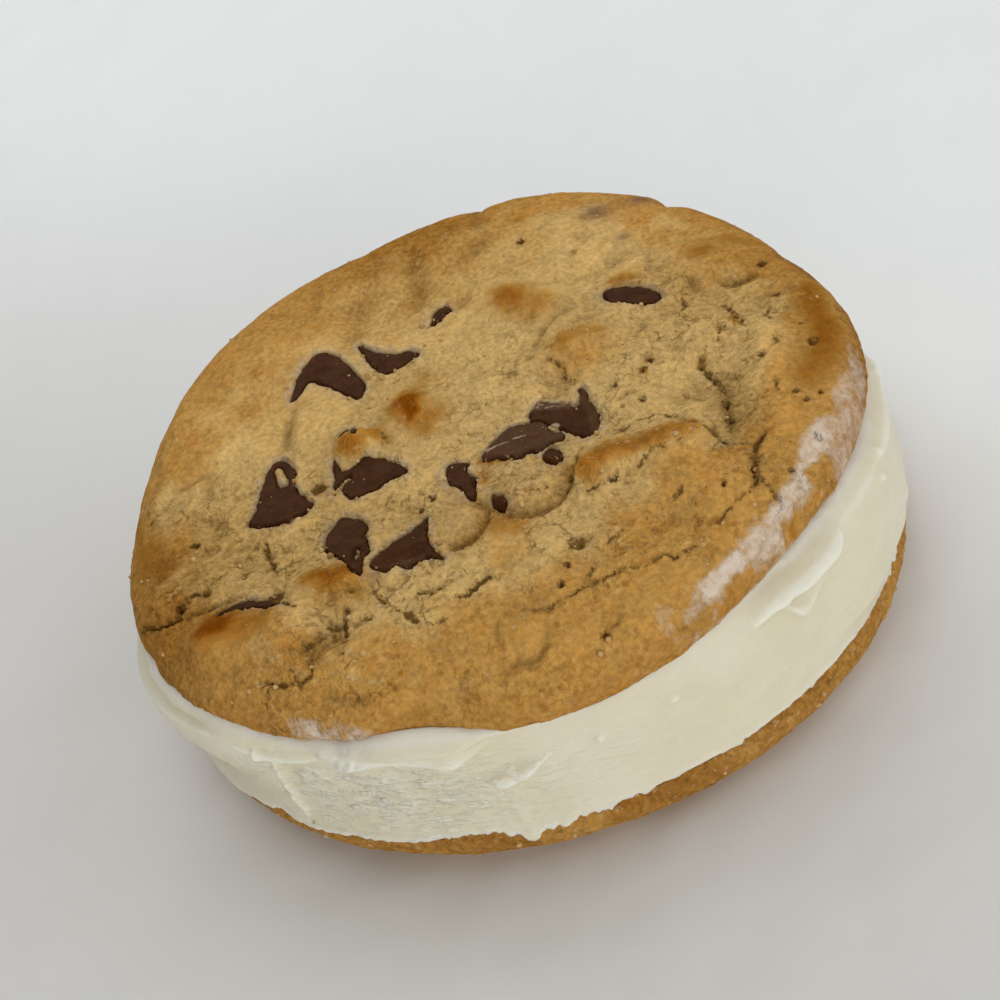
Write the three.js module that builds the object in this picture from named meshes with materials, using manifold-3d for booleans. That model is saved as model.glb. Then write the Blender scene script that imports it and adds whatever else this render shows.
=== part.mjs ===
// A frozen custard sandwich cookie: a thick disc of custard between the flat sides of two chocolate chip
// cookies. It lies on the domed face of the lower cookie.
// Millimetres, +Z up, with the origin in the middle of the spot that it rests on. -Y is the front.
import * as THREE from "three";
import { mergeVertices } from "three/addons/utils/BufferGeometryUtils.js";
import Module from "manifold-3d";

// Driving sizes
const UPPER_RADIUS = 50;
const LOWER_RADIUS = 50.8;
const COOKIE_THICKNESS = 8.5;
const CUSTARD_THICKNESS = 17;
const LOWER_OFFSET = { x: 0.4, y: -2.3 };
// From the upper cookie's axis to the middle of the sandwich's outline.
const ASSEMBLY_SHIFT = { x: 0.15, y: 1.2 };
const REST_SPOT_RADIUS = 26;
const CHIP_GAP = 0.4;

// Rims are round but for a few lobes. Each adds size * cos(waves * (angle - at)) to the radius, with angles
// in degrees.
const UPPER_LOBES = [
  { waves: 2, size: 1.9, at: 15 },
  { waves: 3, size: 0.5, at: -26 },
  { waves: 5, size: 0.9, at: -15 },
];
const LOWER_LOBES = [
  { waves: 2, size: 2.0, at: -10 },
  { waves: 3, size: 0.7, at: -31 },
];

// The edge of a cookie from its flat side to the shoulder of its dome: how far in from the rim, and how
// high.
const RIM_HEIGHT = 2.4;
const EDGE_PROFILE = [
  { inset: 1.0, height: 0 },
  { inset: 0.2, height: 1.1 },
  { inset: 0, height: RIM_HEIGHT },
  { inset: 0.5, height: 4.2 },
  { inset: 1.6, height: 5.9 },
  { inset: 3.4, height: 7.2 },
  { inset: 6.2, height: 7.9 },
  { inset: 9.8, height: 8.3 },
];
const DOME_START = 13.2;
const DOME_RING_STEP = 4.1;
const COOKIE_SEGMENTS = 64;

// Relief fades in between these two distances from the rim, and crags are this wide and high.
const RELIEF_FADE = { from: 1, to: 6 };
const CRAG_SIZE = 3.3;
const CRAG_RISE = 0.5;
// The lower cookie's crags end in a ring round the spot that it rests on. Its hollows start beyond that
// spot.
const LOWER_CRAG_FADE = { from: 9, to: 16 };
const SPOT_EDGE = 30;

// What stands up from the upper cookie's face or sinks into it: round mounds, and long ones from x, y to
// x2, y2.
const UPPER_MOUNDS = [
  { x: -7.6, y: 4.0, reach: 3.6, rise: 1.5 },
  { x: 11.6, y: 18.1, reach: 5.5, rise: 1.2 },
  { x: 15.9, y: 5.7, reach: 5.5, rise: 0.9 },
  { x: 11, y: -18.2, x2: 25.5, y2: -19.5, reach: 3.6, rise: 1.6 },
  { x: -1.8, y: -24, reach: 4.5, rise: 0.9 },
  { x: -24.8, y: -21.2, reach: 4.5, rise: 1.4 },
  { x: -39, y: -22.5, x2: -33, y2: -25, reach: 4.5, rise: 1.3 },
  { x: -4.2, y: -40.5, reach: 4, rise: 1.0 },
  { x: -15.5, y: 1.0, reach: 3.4, rise: 1.6 },
  { x: -22, y: 9, reach: 6, rise: 0.8 },
  { x: -6.6, y: -19.7, reach: 4.4, rise: 1.1 },
  { x: 5.5, y: -17.5, reach: 4.2, rise: 1.0 },
  { x: -2, y: 36, x2: 14, y2: 36, reach: 8, rise: 1.0 },
  { x: -27, y: 33, reach: 8, rise: 0.8 },
  { x: 31, y: -17, reach: 5.5, rise: -1.9 },
  { x: 22, y: 13.5, reach: 4, rise: -0.9 },
  { x: -4, y: 27, reach: 5, rise: -0.8 },
  { x: -31, y: -13, reach: 5, rise: -0.7 },
];
const LOWER_MOUNDS = [
  { x: 34, y: 12, reach: 6, rise: -0.9 },
  { x: -30, y: 22, reach: 7, rise: -0.8 },
  { x: -24, y: -30, reach: 6, rise: -1.0 },
  { x: 18, y: -33, reach: 6, rise: -0.7 },
];

// Cracks run through these points on a cookie's face. They are widest in the middle and close at both ends.
const UPPER_CRACKS = [
  { width: 1.5, depth: 2.2, path: [[32.5, -10], [30.6, -17], [29.6, -23], [31.6, -25], [29.6, -32]] },
  { width: 0.9, depth: 1.2, path: [[28.5, -31], [23.5, -34.6], [19.7, -37.6], [13, -37.5], [4, -38.6]] },
  { width: 1.0, depth: 1.3, path: [[16, -14.2], [20, -13.9], [24.3, -16.8], [27.4, -21.9], [31, -24.4]] },
  { width: 0.9, depth: 1.2, path: [[38, 3], [36.9, 0], [37.6, -4]] },
  { width: 1.1, depth: 1.4, path: [[-47, -17], [-44.3, -15.8], [-40.9, -14.4], [-35.6, -16], [-30, -19]] },
  { width: 1.2, depth: 1.5, path: [[-29.6, -25], [-26, -28.5], [-28.6, -31], [-29, -34.6], [-36, -32.4]] },
  { width: 1.3, depth: 1.5, path: [[-20, -29], [-17.5, -29.6], [-15.1, -32.2], [-12.4, -29], [-5, -31]] },
  { width: 0.9, depth: 1.2, path: [[-43, 7], [-37, 6], [-37, 2.5], [-36.4, -2], [-33.4, -7], [-31, -14.5]] },
  { width: 0.9, depth: 1.1, path: [[3, 29.5], [-4, 27], [-10.5, 27.5], [-13.5, 31]] },
];
const LOWER_CRACKS = [
  { width: 1.3, depth: 1.5, path: [[-20, 32], [-12, 27], [-4, 29], [5, 26], [13, 30]] },
  { width: 1.1, depth: 1.3, path: [[28, -14], [33, -6], [31, 3], [36, 11]] },
  { width: 1.2, depth: 1.4, path: [[-38, -6], [-33, -13], [-35, -21], [-29, -28]] },
  { width: 1.1, depth: 1.3, path: [[-6, -34], [1, -30], [8, -33], [14, -29]] },
];
const CRACK_STEPS = 9;
const CRACK_RISE = 1.5;

// Chocolate chips in the faces, melted low. wide and tall are a chip's base and its height from base to
// tip. tilt leans it over from upright, and heading is where its tip then points. slump is the share of its
// height that is left, and proud is how far its highest line stands above the dough.
const UPPER_CHIPS = [
  { x: -27.1, y: -1.4, wide: 9.4, tall: 10.8, heading: 77, tilt: 80, slump: 0.5, proud: 1.5 },
  { x: -15.4, y: -5.6, wide: 6.4, tall: 10.8, heading: -6, tilt: 80, slump: 0.7, proud: 1.1 },
  { x: -16.2, y: 3.0, wide: 2.6, tall: 3.8, heading: -40, tilt: 78, slump: 0.9, proud: 0.9 },
  { x: -20.2, y: -17.2, wide: 5.8, tall: 11.4, heading: -88, tilt: 82, slump: 0.7, proud: 1.0 },
  { x: -12.1, y: -20.0, wide: 9.4, tall: 8.2, heading: 58, tilt: 76, slump: 0.5, proud: 1.2 },
  { x: -15.8, y: 14.6, wide: 9.8, tall: 9.8, heading: -48, tilt: 78, slump: 0.5, proud: 1.1 },
  { x: -8.4, y: 16.6, wide: 9.6, tall: 6.4, heading: -95, tilt: 74, slump: 0.5, proud: 0.9 },
  { x: 1.1, y: 21.8, wide: 2.2, tall: 3.4, heading: -45, tilt: 80, slump: 0.9, proud: 0.5 },
  { x: 4.9, y: -9.4, wide: 6.6, tall: 11.2, heading: 176, tilt: 82, slump: 0.7, proud: 1.5 },
  { x: 12.3, y: -7.4, wide: 7.8, tall: 8.6, heading: 36, tilt: 70, slump: 0.6, proud: 1.2 },
  { x: 8.0, y: -14.4, wide: 3.0, tall: 3.0, heading: 0, tilt: 30, slump: 0.9, proud: 0.8 },
  { x: -4.1, y: -12.9, wide: 4.0, tall: 8.8, heading: -75, tilt: 84, slump: 0.9, proud: 0.9 },
  { x: -0.7, y: -19.2, wide: 2.2, tall: 2.4, heading: -90, tilt: 30, slump: 0.9, proud: 0.6 },
  { x: 26.7, y: 10.9, wide: 4.6, tall: 9.8, heading: -43, tilt: 84, slump: 0.8, proud: 0.7 },
  { x: -34.6, y: -20.6, wide: 4.6, tall: 9.6, heading: -13, tilt: 86, slump: 0.8, proud: 0.4 },
];
// The lower cookie's chips are pressed level with the face that it lies on.
const LOWER_CHIPS = [
  { x: -12, y: 12, wide: 9.0, tall: 10.2, heading: 30, tilt: 80, slump: 0.55, proud: 1.4 },
  { x: 10, y: 7, wide: 8.2, tall: 9.8, heading: 150, tilt: 80, slump: 0.6, proud: 1.2 },
  { x: -4, y: -13, wide: 9.0, tall: 8.6, heading: -70, tilt: 76, slump: 0.55, proud: 1.3 },
  { x: 23, y: -9, wide: 6.6, tall: 9.6, heading: 60, tilt: 82, slump: 0.7, proud: 1.2 },
  { x: -29, y: 3, wide: 8.8, tall: 8.4, heading: 200, tilt: 76, slump: 0.55, proud: 1.2 },
  { x: 14, y: 29, wide: 7.4, tall: 9.6, heading: -20, tilt: 80, slump: 0.6, proud: 1.0 },
  { x: -17, y: -25, wide: 6.8, tall: 9.8, heading: 110, tilt: 82, slump: 0.7, proud: 1.0 },
  { x: 3, y: 39, wide: 6.2, tall: 8.4, heading: 20, tilt: 82, slump: 0.7, proud: 0.7 },
];
const PRESSED_DEPTH = 0.1;
const CHIP_SEGMENTS = 9;
const CHIP_PROFILE = [
  { across: 0, up: 0 },
  { across: 0.88, up: 0 },
  { across: 1, up: 0.16 },
  { across: 0.84, up: 0.42 },
  { across: 0.46, up: 0.72 },
  { across: 0.17, up: 0.93 },
  { across: 0, up: 1 },
];

// The custard's wall leaves the lower cookie just inside its rim and meets the upper one just inside its
// rim.
const CUSTARD_INSET_BELOW = 1.0;
const CUSTARD_INSET_ABOVE = 0.9;
const CUSTARD_SEGMENTS = 90;
const CUSTARD_RINGS = [0, 0.06, 0.18, 0.34, 0.5, 0.66, 0.82, 0.94, 1];
// Where the custard was squeezed past the rims: the middle and half width round the wall in degrees, the
// middle and half height as shares of its thickness, and how far it stands out.
const CUSTARD_SWELLS = [
  { at: -27, spread: 34, level: 0.6, band: 0.62, out: 4.2 },
  { at: -166, spread: 26, level: 0.8, band: 0.55, out: 4.2 },
  { at: 80, spread: 60, level: 0.5, band: 0.5, out: 1.4 },
  { at: -112, spread: 15, level: 0.95, band: 0.16, out: 2.2 },
  { at: -54, spread: 9, level: 0.9, band: 0.16, out: 2.4 },
  { at: -102, spread: 3.5, level: 0.66, band: 0.1, out: 1.1 },
  { at: -139, spread: 3, level: 0.45, band: 0.5, out: 0.8 },
];

// The wall's ripple: how far it stands out, how wide a wave is, and how many lie between foot and head.
const CUSTARD_RIPPLE = { out: 0.6, wide: 5.5, up: 5 };
// Swells and ripple die away next to the cookies: the share that is left there, and how fast it comes back.
const WALL_FOOT = { share: 0.25, gain: 4 };
const WALL_HEAD = { share: 0.45, gain: 6 };

const DOUGH = new THREE.MeshStandardMaterial({ color: 0xb98a4a, roughness: 0.85, metalness: 0 });
const CUSTARD = new THREE.MeshStandardMaterial({ color: 0xeeead0, roughness: 0.45, metalness: 0 });
const CHOCOLATE = new THREE.MeshStandardMaterial({ color: 0x3a2018, roughness: 0.4, metalness: 0 });

const wasm = await Module();
wasm.setup();

const radians = THREE.MathUtils.degToRad;
const softBump = (share) => Math.exp(-share * share);

function rimRadius(radius, lobes, angle) {
  const lobe = ({ waves, size, at }) => size * Math.cos(waves * (angle - radians(at)));
  return lobes.reduce((sum, each) => sum + lobe(each), radius);
}

const upperRim = (angle) => rimRadius(UPPER_RADIUS, UPPER_LOBES, angle);

// The lower cookie is centred on LOWER_OFFSET, and this is its rim as seen from the upper cookie's axis.
function lowerRim(angle) {
  const shift = LOWER_OFFSET.x * Math.cos(angle) + LOWER_OFFSET.y * Math.sin(angle);
  return rimRadius(LOWER_RADIUS, LOWER_LOBES, angle) + shift;
}

// Repeatable roughness from 0 to 1 at whole-number places, blended smoothly between them.
function lattice(i, j) {
  const wave = Math.sin(i * 127.1 + j * 311.7) * 43758.5453;
  return wave - Math.floor(wave);
}

function roughness(x, y) {
  const [i, j] = [Math.floor(x), Math.floor(y)];
  const [u, v] = [THREE.MathUtils.smoothstep(x - i, 0, 1), THREE.MathUtils.smoothstep(y - j, 0, 1)];
  const near = THREE.MathUtils.lerp(lattice(i, j), lattice(i + 1, j), u);
  const far = THREE.MathUtils.lerp(lattice(i, j + 1), lattice(i + 1, j + 1), u);
  return THREE.MathUtils.lerp(near, far, v);
}

function moundHeight({ x, y, x2 = x, y2 = y, reach, rise }, px, py) {
  const long = new THREE.Vector2(x2 - x, y2 - y);
  const here = new THREE.Vector2(px - x, py - y);
  const share = THREE.MathUtils.clamp(here.dot(long) / (long.lengthSq() || 1), 0, 1);
  return rise * softBump(here.distanceTo(long.multiplyScalar(share)) / reach);
}

// The height of a cookie's dome above its flat side, inset from its rim.
function domeHeight(inset) {
  for (let i = 1; i < EDGE_PROFILE.length; i++) {
    const [low, high] = [EDGE_PROFILE[i - 1], EDGE_PROFILE[i]];
    if (low.height >= RIM_HEIGHT && inset < high.inset) {
      const share = Math.max(0, (inset - low.inset) / (high.inset - low.inset));
      return THREE.MathUtils.lerp(low.height, high.height, share);
    }
  }
  return COOKIE_THICKNESS;
}

// Both cookies' domed faces, as heights above their own flat side.
function upperFace(x, y) {
  const inset = upperRim(Math.atan2(y, x)) - Math.hypot(x, y);
  const fade = THREE.MathUtils.smoothstep(inset, RELIEF_FADE.from, RELIEF_FADE.to);
  const mounds = UPPER_MOUNDS.reduce((sum, mound) => sum + moundHeight(mound, x, y), 0);
  const crags = CRAG_RISE * (roughness(x / CRAG_SIZE, y / CRAG_SIZE) - 0.5);
  return domeHeight(inset) + fade * (mounds + crags);
}

function lowerFace(x, y) {
  const reach = Math.hypot(x, y);
  const inset = lowerRim(Math.atan2(y, x)) - reach;
  const fromRim = THREE.MathUtils.smoothstep(inset, RELIEF_FADE.from, RELIEF_FADE.to);
  const toSpot = 1 - THREE.MathUtils.smoothstep(inset, LOWER_CRAG_FADE.from, LOWER_CRAG_FADE.to);
  const outsideSpot = THREE.MathUtils.smoothstep(reach, REST_SPOT_RADIUS, SPOT_EDGE);
  const mounds = LOWER_MOUNDS.reduce((sum, mound) => sum + moundHeight(mound, x, y), 0);
  const crags = CRAG_RISE * (roughness(y / CRAG_SIZE, x / CRAG_SIZE) - 0.5);
  return Math.min(domeHeight(inset) + fromRim * toSpot * crags + outsideSpot * mounds, COOKIE_THICKNESS);
}

// A closed mesh through rings of points, each ring running the same way round, with a point at each end.
function loft(first, rings, last) {
  const count = rings[0].length;
  const positions = [...first, ...rings.flat(2), ...last];
  const at = (ring, step) => 1 + ring * count + (step % count);
  const end = 1 + rings.length * count;
  const faces = [];
  for (let step = 0; step < count; step++) {
    faces.push(0, at(0, step + 1), at(0, step));
    for (let ring = 0; ring + 1 < rings.length; ring++) {
      faces.push(at(ring, step), at(ring, step + 1), at(ring + 1, step + 1));
      faces.push(at(ring, step), at(ring + 1, step + 1), at(ring + 1, step));
    }
    faces.push(at(rings.length - 1, step), at(rings.length - 1, step + 1), end);
  }
  const geometry = new THREE.BufferGeometry();
  geometry.setAttribute("position", new THREE.Float32BufferAttribute(positions, 3));
  geometry.setIndex(faces);
  return geometry;
}

const ring = (count, point) => Array.from({ length: count }, (_, i) => point((i / count) * 2 * Math.PI));

// A cookie with its flat side down on z = 0.
function cookieGeometry(rim, face) {
  const polar = (radius, angle) => [radius * Math.cos(angle), radius * Math.sin(angle)];
  const edge = EDGE_PROFILE.map(({ inset, height }) =>
    ring(COOKIE_SEGMENTS, (angle) => {
      const [x, y] = polar(rim(angle) - inset, angle);
      return [x, y, height > RIM_HEIGHT ? face(x, y) : height];
    }),
  );
  const dome = [];
  for (let inset = DOME_START; inset < UPPER_RADIUS - DOME_RING_STEP / 2; inset += DOME_RING_STEP) {
    const share = (UPPER_RADIUS - inset) / UPPER_RADIUS;
    dome.push(
      ring(COOKIE_SEGMENTS, (angle) => {
        const [x, y] = polar(rim(angle) * share, angle);
        return [x, y, face(x, y)];
      }),
    );
  }
  return loft([0, 0, 0], [...edge, ...dome], [0, 0, face(0, 0)]);
}

// A chip leaning over and slumped, with its middle at the origin. grow makes it larger all round, and moves
// its sharp tip out by twice that.
function chipForm({ wide, tall, heading, tilt, slump }, grow) {
  const radius = wide / 2 + grow;
  const height = tall + grow + 2 * grow;
  const outline = CHIP_PROFILE.map(({ across, up }) => new THREE.Vector2(across * radius, up * height));
  return new THREE.LatheGeometry(outline, CHIP_SEGMENTS)
    .translate(0, -tall / 2 - grow, 0)
    .rotateX(Math.PI / 2)
    .rotateY(radians(tilt))
    .rotateZ(radians(heading))
    .scale(1, 1, slump);
}

// The same chip set into a face.
function chipGeometry(chip, grow, face) {
  const plain = chipForm(chip, 0);
  plain.computeBoundingBox();
  const level = face(chip.x, chip.y) + chip.proud - plain.boundingBox.max.z;
  return chipForm(chip, grow).translate(chip.x, chip.y, level);
}

// A wedge with its edge down, along a crack in a face.
function crackGeometry({ width, depth, path }, face) {
  const line = new THREE.CatmullRomCurve3(path.map(([x, y]) => new THREE.Vector3(x, y, 0)));
  const rings = [];
  for (let step = 1; step < CRACK_STEPS; step++) {
    const share = step / CRACK_STEPS;
    const { x, y } = line.getPointAt(share);
    const along = line.getTangentAt(share);
    const open = Math.sin(Math.PI * share) ** 0.5;
    const half = (width / 2) * open * (1 + CRACK_RISE / depth);
    const level = face(x, y);
    rings.push([
      [x - along.y * half, y + along.x * half, level + CRACK_RISE],
      [x + along.y * half, y - along.x * half, level + CRACK_RISE],
      [x, y, level - depth * open],
    ]);
  }
  const tip = ([x, y]) => [x, y, face(x, y) + CRACK_RISE];
  return loft(tip(path[0]), rings, tip(path.at(-1)));
}

// The same shape turned over about its middle height, so that its dome is down.
function turnedOver(geometry) {
  const place = geometry.getAttribute("position");
  for (let i = 0; i < place.count; i++) place.setZ(i, COOKIE_THICKNESS - place.getZ(i));
  const faces = geometry.getIndex();
  for (let i = 0; i < faces.count; i += 3) {
    const first = faces.getX(i);
    faces.setX(i, faces.getX(i + 1));
    faces.setX(i + 1, first);
  }
  return geometry;
}

function solidOf(geometry) {
  const bare = geometry.clone();
  bare.deleteAttribute("normal");
  bare.deleteAttribute("uv");
  const merged = mergeVertices(bare, 1e-4);
  const vertProperties = new Float32Array(merged.getAttribute("position").array);
  const triVerts = new Uint32Array(merged.getIndex().array);
  return new wasm.Manifold(new wasm.Mesh({ numProp: 3, vertProperties, triVerts }));
}

function geometryOf(solid) {
  const { numProp, vertProperties, triVerts } = solid.getMesh();
  const positions = [];
  for (let i = 0; i < vertProperties.length; i += numProp) {
    positions.push(...vertProperties.subarray(i, i + 3));
  }
  const geometry = new THREE.BufferGeometry();
  geometry.setAttribute("position", new THREE.Float32BufferAttribute(positions, 3));
  geometry.setIndex(new THREE.Uint32BufferAttribute(triVerts, 1));
  return geometry;
}

// A cookie with its cracks cut in and a socket for each chip.
function bakedCookie(rim, face, cracks, chips) {
  const cutters = [
    ...cracks.map((crack) => crackGeometry(crack, face)),
    ...chips.map((chip) => chipGeometry(chip, CHIP_GAP, face)),
  ];
  const whole = solidOf(cookieGeometry(rim, face));
  return geometryOf(cutters.reduce((solid, cutter) => solid.subtract(solidOf(cutter)), whole));
}

// The chips of a face, cut level with ceiling. Where two meet, the later one is cut back from the earlier.
function setChips(chips, face, ceiling) {
  const shaped = (chip, grow) => solidOf(chipGeometry(chip, grow, face));
  const span = 4 * UPPER_RADIUS;
  const above = solidOf(new THREE.BoxGeometry(span, span, span).translate(0, 0, ceiling + span / 2));
  return chips.map((chip, index) => {
    const earlier = chips.slice(0, index).map((other) => shaped(other, CHIP_GAP));
    return geometryOf([above, ...earlier].reduce((solid, other) => solid.subtract(other), shaped(chip, 0)));
  });
}

// How far the custard's wall stands out of its plain taper.
function custardSwell(angle, level) {
  const turn = (at) => {
    const away = (angle * 180) / Math.PI - at;
    return away - 360 * Math.round(away / 360);
  };
  const swell = ({ at, spread, level: middle, band, out }) =>
    out * softBump(turn(at) / spread) * softBump((level - middle) / band);
  return CUSTARD_SWELLS.reduce((sum, each) => sum + swell(each), 0);
}

function custardGeometry() {
  const rings = CUSTARD_RINGS.map((level) =>
    ring(CUSTARD_SEGMENTS, (angle) => {
      const below = lowerRim(angle) - CUSTARD_INSET_BELOW;
      const above = upperRim(angle) - CUSTARD_INSET_ABOVE;
      const [x, y] = [below * Math.cos(angle), below * Math.sin(angle)];
      const { out: most, wide, up } = CUSTARD_RIPPLE;
      const ripple = most * (roughness(x / wide, y / wide + level * up) - 0.5);
      const foot = Math.min(1, WALL_FOOT.share + WALL_FOOT.gain * level);
      const head = Math.min(1, WALL_HEAD.share + WALL_HEAD.gain * (1 - level));
      const out = foot * head * (custardSwell(angle, level) + ripple);
      const radius = THREE.MathUtils.lerp(below, above, level) + out;
      return [radius * Math.cos(angle), radius * Math.sin(angle), level * CUSTARD_THICKNESS];
    }),
  );
  return loft([0, 0, 0], rings, [0, 0, CUSTARD_THICKNESS]);
}

function piece(name, geometry, material, level) {
  geometry.computeVertexNormals();
  const mesh = new THREE.Mesh(geometry, material);
  mesh.name = name;
  mesh.position.z = level;
  return mesh;
}

const CUSTARD_LEVEL = COOKIE_THICKNESS;
const UPPER_LEVEL = COOKIE_THICKNESS + CUSTARD_THICKNESS;
const numbered = (name, index) => `${name}_${String(index + 1).padStart(2, "0")}`;

const sandwich = new THREE.Group();
sandwich.name = "custard_sandwich_cookie";
sandwich.position.set(ASSEMBLY_SHIFT.x, ASSEMBLY_SHIFT.y, 0);

const lowerCookie = turnedOver(bakedCookie(lowerRim, lowerFace, LOWER_CRACKS, LOWER_CHIPS));
sandwich.add(piece("cookie_lower", lowerCookie, DOUGH, 0));
setChips(LOWER_CHIPS, lowerFace, COOKIE_THICKNESS - PRESSED_DEPTH).forEach((chip, index) => {
  sandwich.add(piece(numbered("chip_lower", index), turnedOver(chip), CHOCOLATE, 0));
});

sandwich.add(piece("custard", custardGeometry(), CUSTARD, CUSTARD_LEVEL));

const upperCookie = bakedCookie(upperRim, upperFace, UPPER_CRACKS, UPPER_CHIPS);
sandwich.add(piece("cookie_upper", upperCookie, DOUGH, UPPER_LEVEL));
setChips(UPPER_CHIPS, upperFace, 2 * COOKIE_THICKNESS).forEach((chip, index) => {
  sandwich.add(piece(numbered("chip_upper", index), chip, CHOCOLATE, UPPER_LEVEL));
});

export default sandwich;
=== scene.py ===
"""Looks for a frozen custard sandwich cookie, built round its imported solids.

Sizes are millimetres from the upper cookie's axis, with +Z up and the floor at 0, and they turn into metres
where a mesh is made. Angles are degrees round that axis from +X, and -Y is the front.
"""
import itertools
import math
from types import SimpleNamespace

import bpy
import numpy as np
from mathutils import Matrix, Vector


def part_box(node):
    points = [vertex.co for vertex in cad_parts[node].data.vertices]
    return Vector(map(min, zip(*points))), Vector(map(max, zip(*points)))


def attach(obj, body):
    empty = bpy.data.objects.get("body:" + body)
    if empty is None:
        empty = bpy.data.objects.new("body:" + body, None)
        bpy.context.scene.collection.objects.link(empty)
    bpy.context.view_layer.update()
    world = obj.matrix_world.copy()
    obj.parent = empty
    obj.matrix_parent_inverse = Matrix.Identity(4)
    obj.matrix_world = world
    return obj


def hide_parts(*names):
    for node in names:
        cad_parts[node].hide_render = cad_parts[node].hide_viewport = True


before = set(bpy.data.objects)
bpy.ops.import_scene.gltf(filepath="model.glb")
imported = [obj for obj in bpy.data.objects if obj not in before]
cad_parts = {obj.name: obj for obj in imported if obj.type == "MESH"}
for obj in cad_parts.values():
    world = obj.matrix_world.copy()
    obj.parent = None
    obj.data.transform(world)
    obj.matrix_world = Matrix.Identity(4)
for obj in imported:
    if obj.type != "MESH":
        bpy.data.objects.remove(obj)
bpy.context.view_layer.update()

MM = 0.001

# Driving sizes, the same as the solids'.
UPPER_RADIUS = 50.0
LOWER_RADIUS = 50.8
LOWER_OFFSET = (0.4, -2.3)
AXIS_PLACE = (0.15, 1.2)
REST_SPOT_RADIUS = 26.0
SPOT_EDGE = 30.0
LOWER_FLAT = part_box("custard")[0].z / MM
UPPER_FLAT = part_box("custard")[1].z / MM
COOKIE_THICKNESS = LOWER_FLAT
CUSTARD_THICKNESS = UPPER_FLAT - LOWER_FLAT

# Each lobe of a rim adds size * cos(waves * (angle - at)) to its radius.
UPPER_LOBES = [(2, 1.9, 15), (3, 0.5, -26), (5, 0.9, -15)]
LOWER_LOBES = [(2, 2.0, -10), (3, 0.7, -31)]

# The edge of a cookie from its flat side to the shoulder of its dome: how far in from the rim and how high.
EDGE_PROFILE = [(1.0, 0), (0.2, 1.1), (0, 2.4), (0.5, 4.2), (1.6, 5.9), (3.4, 7.2), (6.2, 7.9), (9.8, 8.3)]
DOME_START = 13.2
UNDERSIDE_EDGE = 4.0

# How many points the pieces have: along a side of the grid of a cookie or a chip, round the custard, and up
# it.
UPPER_GRID = 304
LOWER_GRID = 250
CHIP_GRID = 56
WALL_STEPS = 1360
WALL_RINGS = 66

# The least length of a stretch between two points that may be the same, and of any line that is divided by.
TINY = 1e-6
LEAST_LENGTH = 1e-9
PATH_STEPS = 6


def fade(value, low, high):
    """0 at low, 1 at high, and a smooth step between them."""
    share = np.clip((value - low) / (high - low), 0, 1)
    return share * share * (3 - 2 * share)


def soft_bump(distance, reach):
    """1 at no distance, and a third of that at reach."""
    return np.exp(-((distance / reach) ** 2))


def mixed(share, first, second):
    return first + (second - first) * share


def on_level(flat):
    """Places in space at height 0."""
    return np.column_stack([flat, np.zeros(len(flat))])


def on_circle(radius, angle):
    return np.stack([radius * np.cos(angle), radius * np.sin(angle)], axis=1)


def turn_between(angle, at):
    """How many degrees angle lies past at, from -180 to 180."""
    return (angle - at + 180) % 360 - 180


# Large odd numbers that scramble whole numbers: one for each axis, one for the seed, and the rounds that
# follow.
AXIS_FACTORS = [np.uint32(factor) for factor in (73856093, 19349663, 83492791)]
SEED_FACTOR = 2654435761
SCRAMBLE_ROUNDS = [(15, 739982445), (12, 695872825), (15, 1)]


def scrambled(places, seed):
    """Repeatable scrambled whole numbers, one for each whole-number place."""
    value = np.uint32((seed * SEED_FACTOR) % 2**32)
    for column, factor in zip(places.T, AXIS_FACTORS):
        value = value ^ column.astype(np.int64).astype(np.uint32) * factor
    for shift, factor in SCRAMBLE_ROUNDS:
        value = (value ^ (value >> np.uint32(shift))) * np.uint32(factor)
    return value


def part_of(value, index):
    """The index-th ten bits of scrambled numbers, as a number from 0 to 1."""
    return ((value >> np.uint32(10 * index)) & np.uint32(1023)) / 1023


def noise(places, size, seed):
    """Smooth noise from about -1 to 1 whose features are size across."""
    scaled = places / size
    cell = np.floor(scaled)
    inside = scaled - cell
    ease = inside**3 * (inside * (inside * 6 - 15) + 10)
    total = np.zeros(len(places))
    for corner in itertools.product((0, 1), repeat=3):
        value = scrambled(cell + corner, seed)
        away = inside - corner
        slope = sum(away[:, axis] * (2 * part_of(value, axis) - 1) for axis in range(3))
        total += slope * np.prod(np.where(corner, ease, 1 - ease), axis=1)
    return 1.5 * total


def rough(places, size, layers, seed, keep=0.5):
    """Layers of noise, each half as wide as the last and with keep of its strength."""
    return sum(keep**layer * noise(places, size / 2**layer, seed + layer) for layer in range(layers))


def wandering(places, reach, size, seed, axes=2, apart=5):
    """How far a line or spot is moved about at each place, so that it isn't drawn straight or round."""
    columns = [rough(places, size, 3, seed + apart * axis, 0.6) for axis in range(axes)]
    return reach * np.stack(columns, axis=1)


def scatter(places, size, seed):
    """One point lies at random in each cell that is size wide. For each place: the distances to the nearest
    and the second nearest point, and a number from 0 to 1 that goes with the nearest."""
    cell = np.floor(places / size)
    first = np.full(len(places), 9 * size)
    second = first.copy()
    mark = np.zeros(len(places))
    for step in itertools.product((-1, 0, 1), repeat=3):
        there = cell + step
        value = scrambled(there, seed)
        point = (there + np.stack([part_of(value, axis) for axis in range(3)], axis=1)) * size
        distance = np.linalg.norm(places - point, axis=1)
        nearer = distance < first
        second = np.where(nearer, first, np.minimum(second, distance))
        mark = np.where(nearer, part_of(scrambled(there, seed + 7), 1), mark)
        first = np.where(nearer, distance, first)
    return first, second, mark


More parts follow.
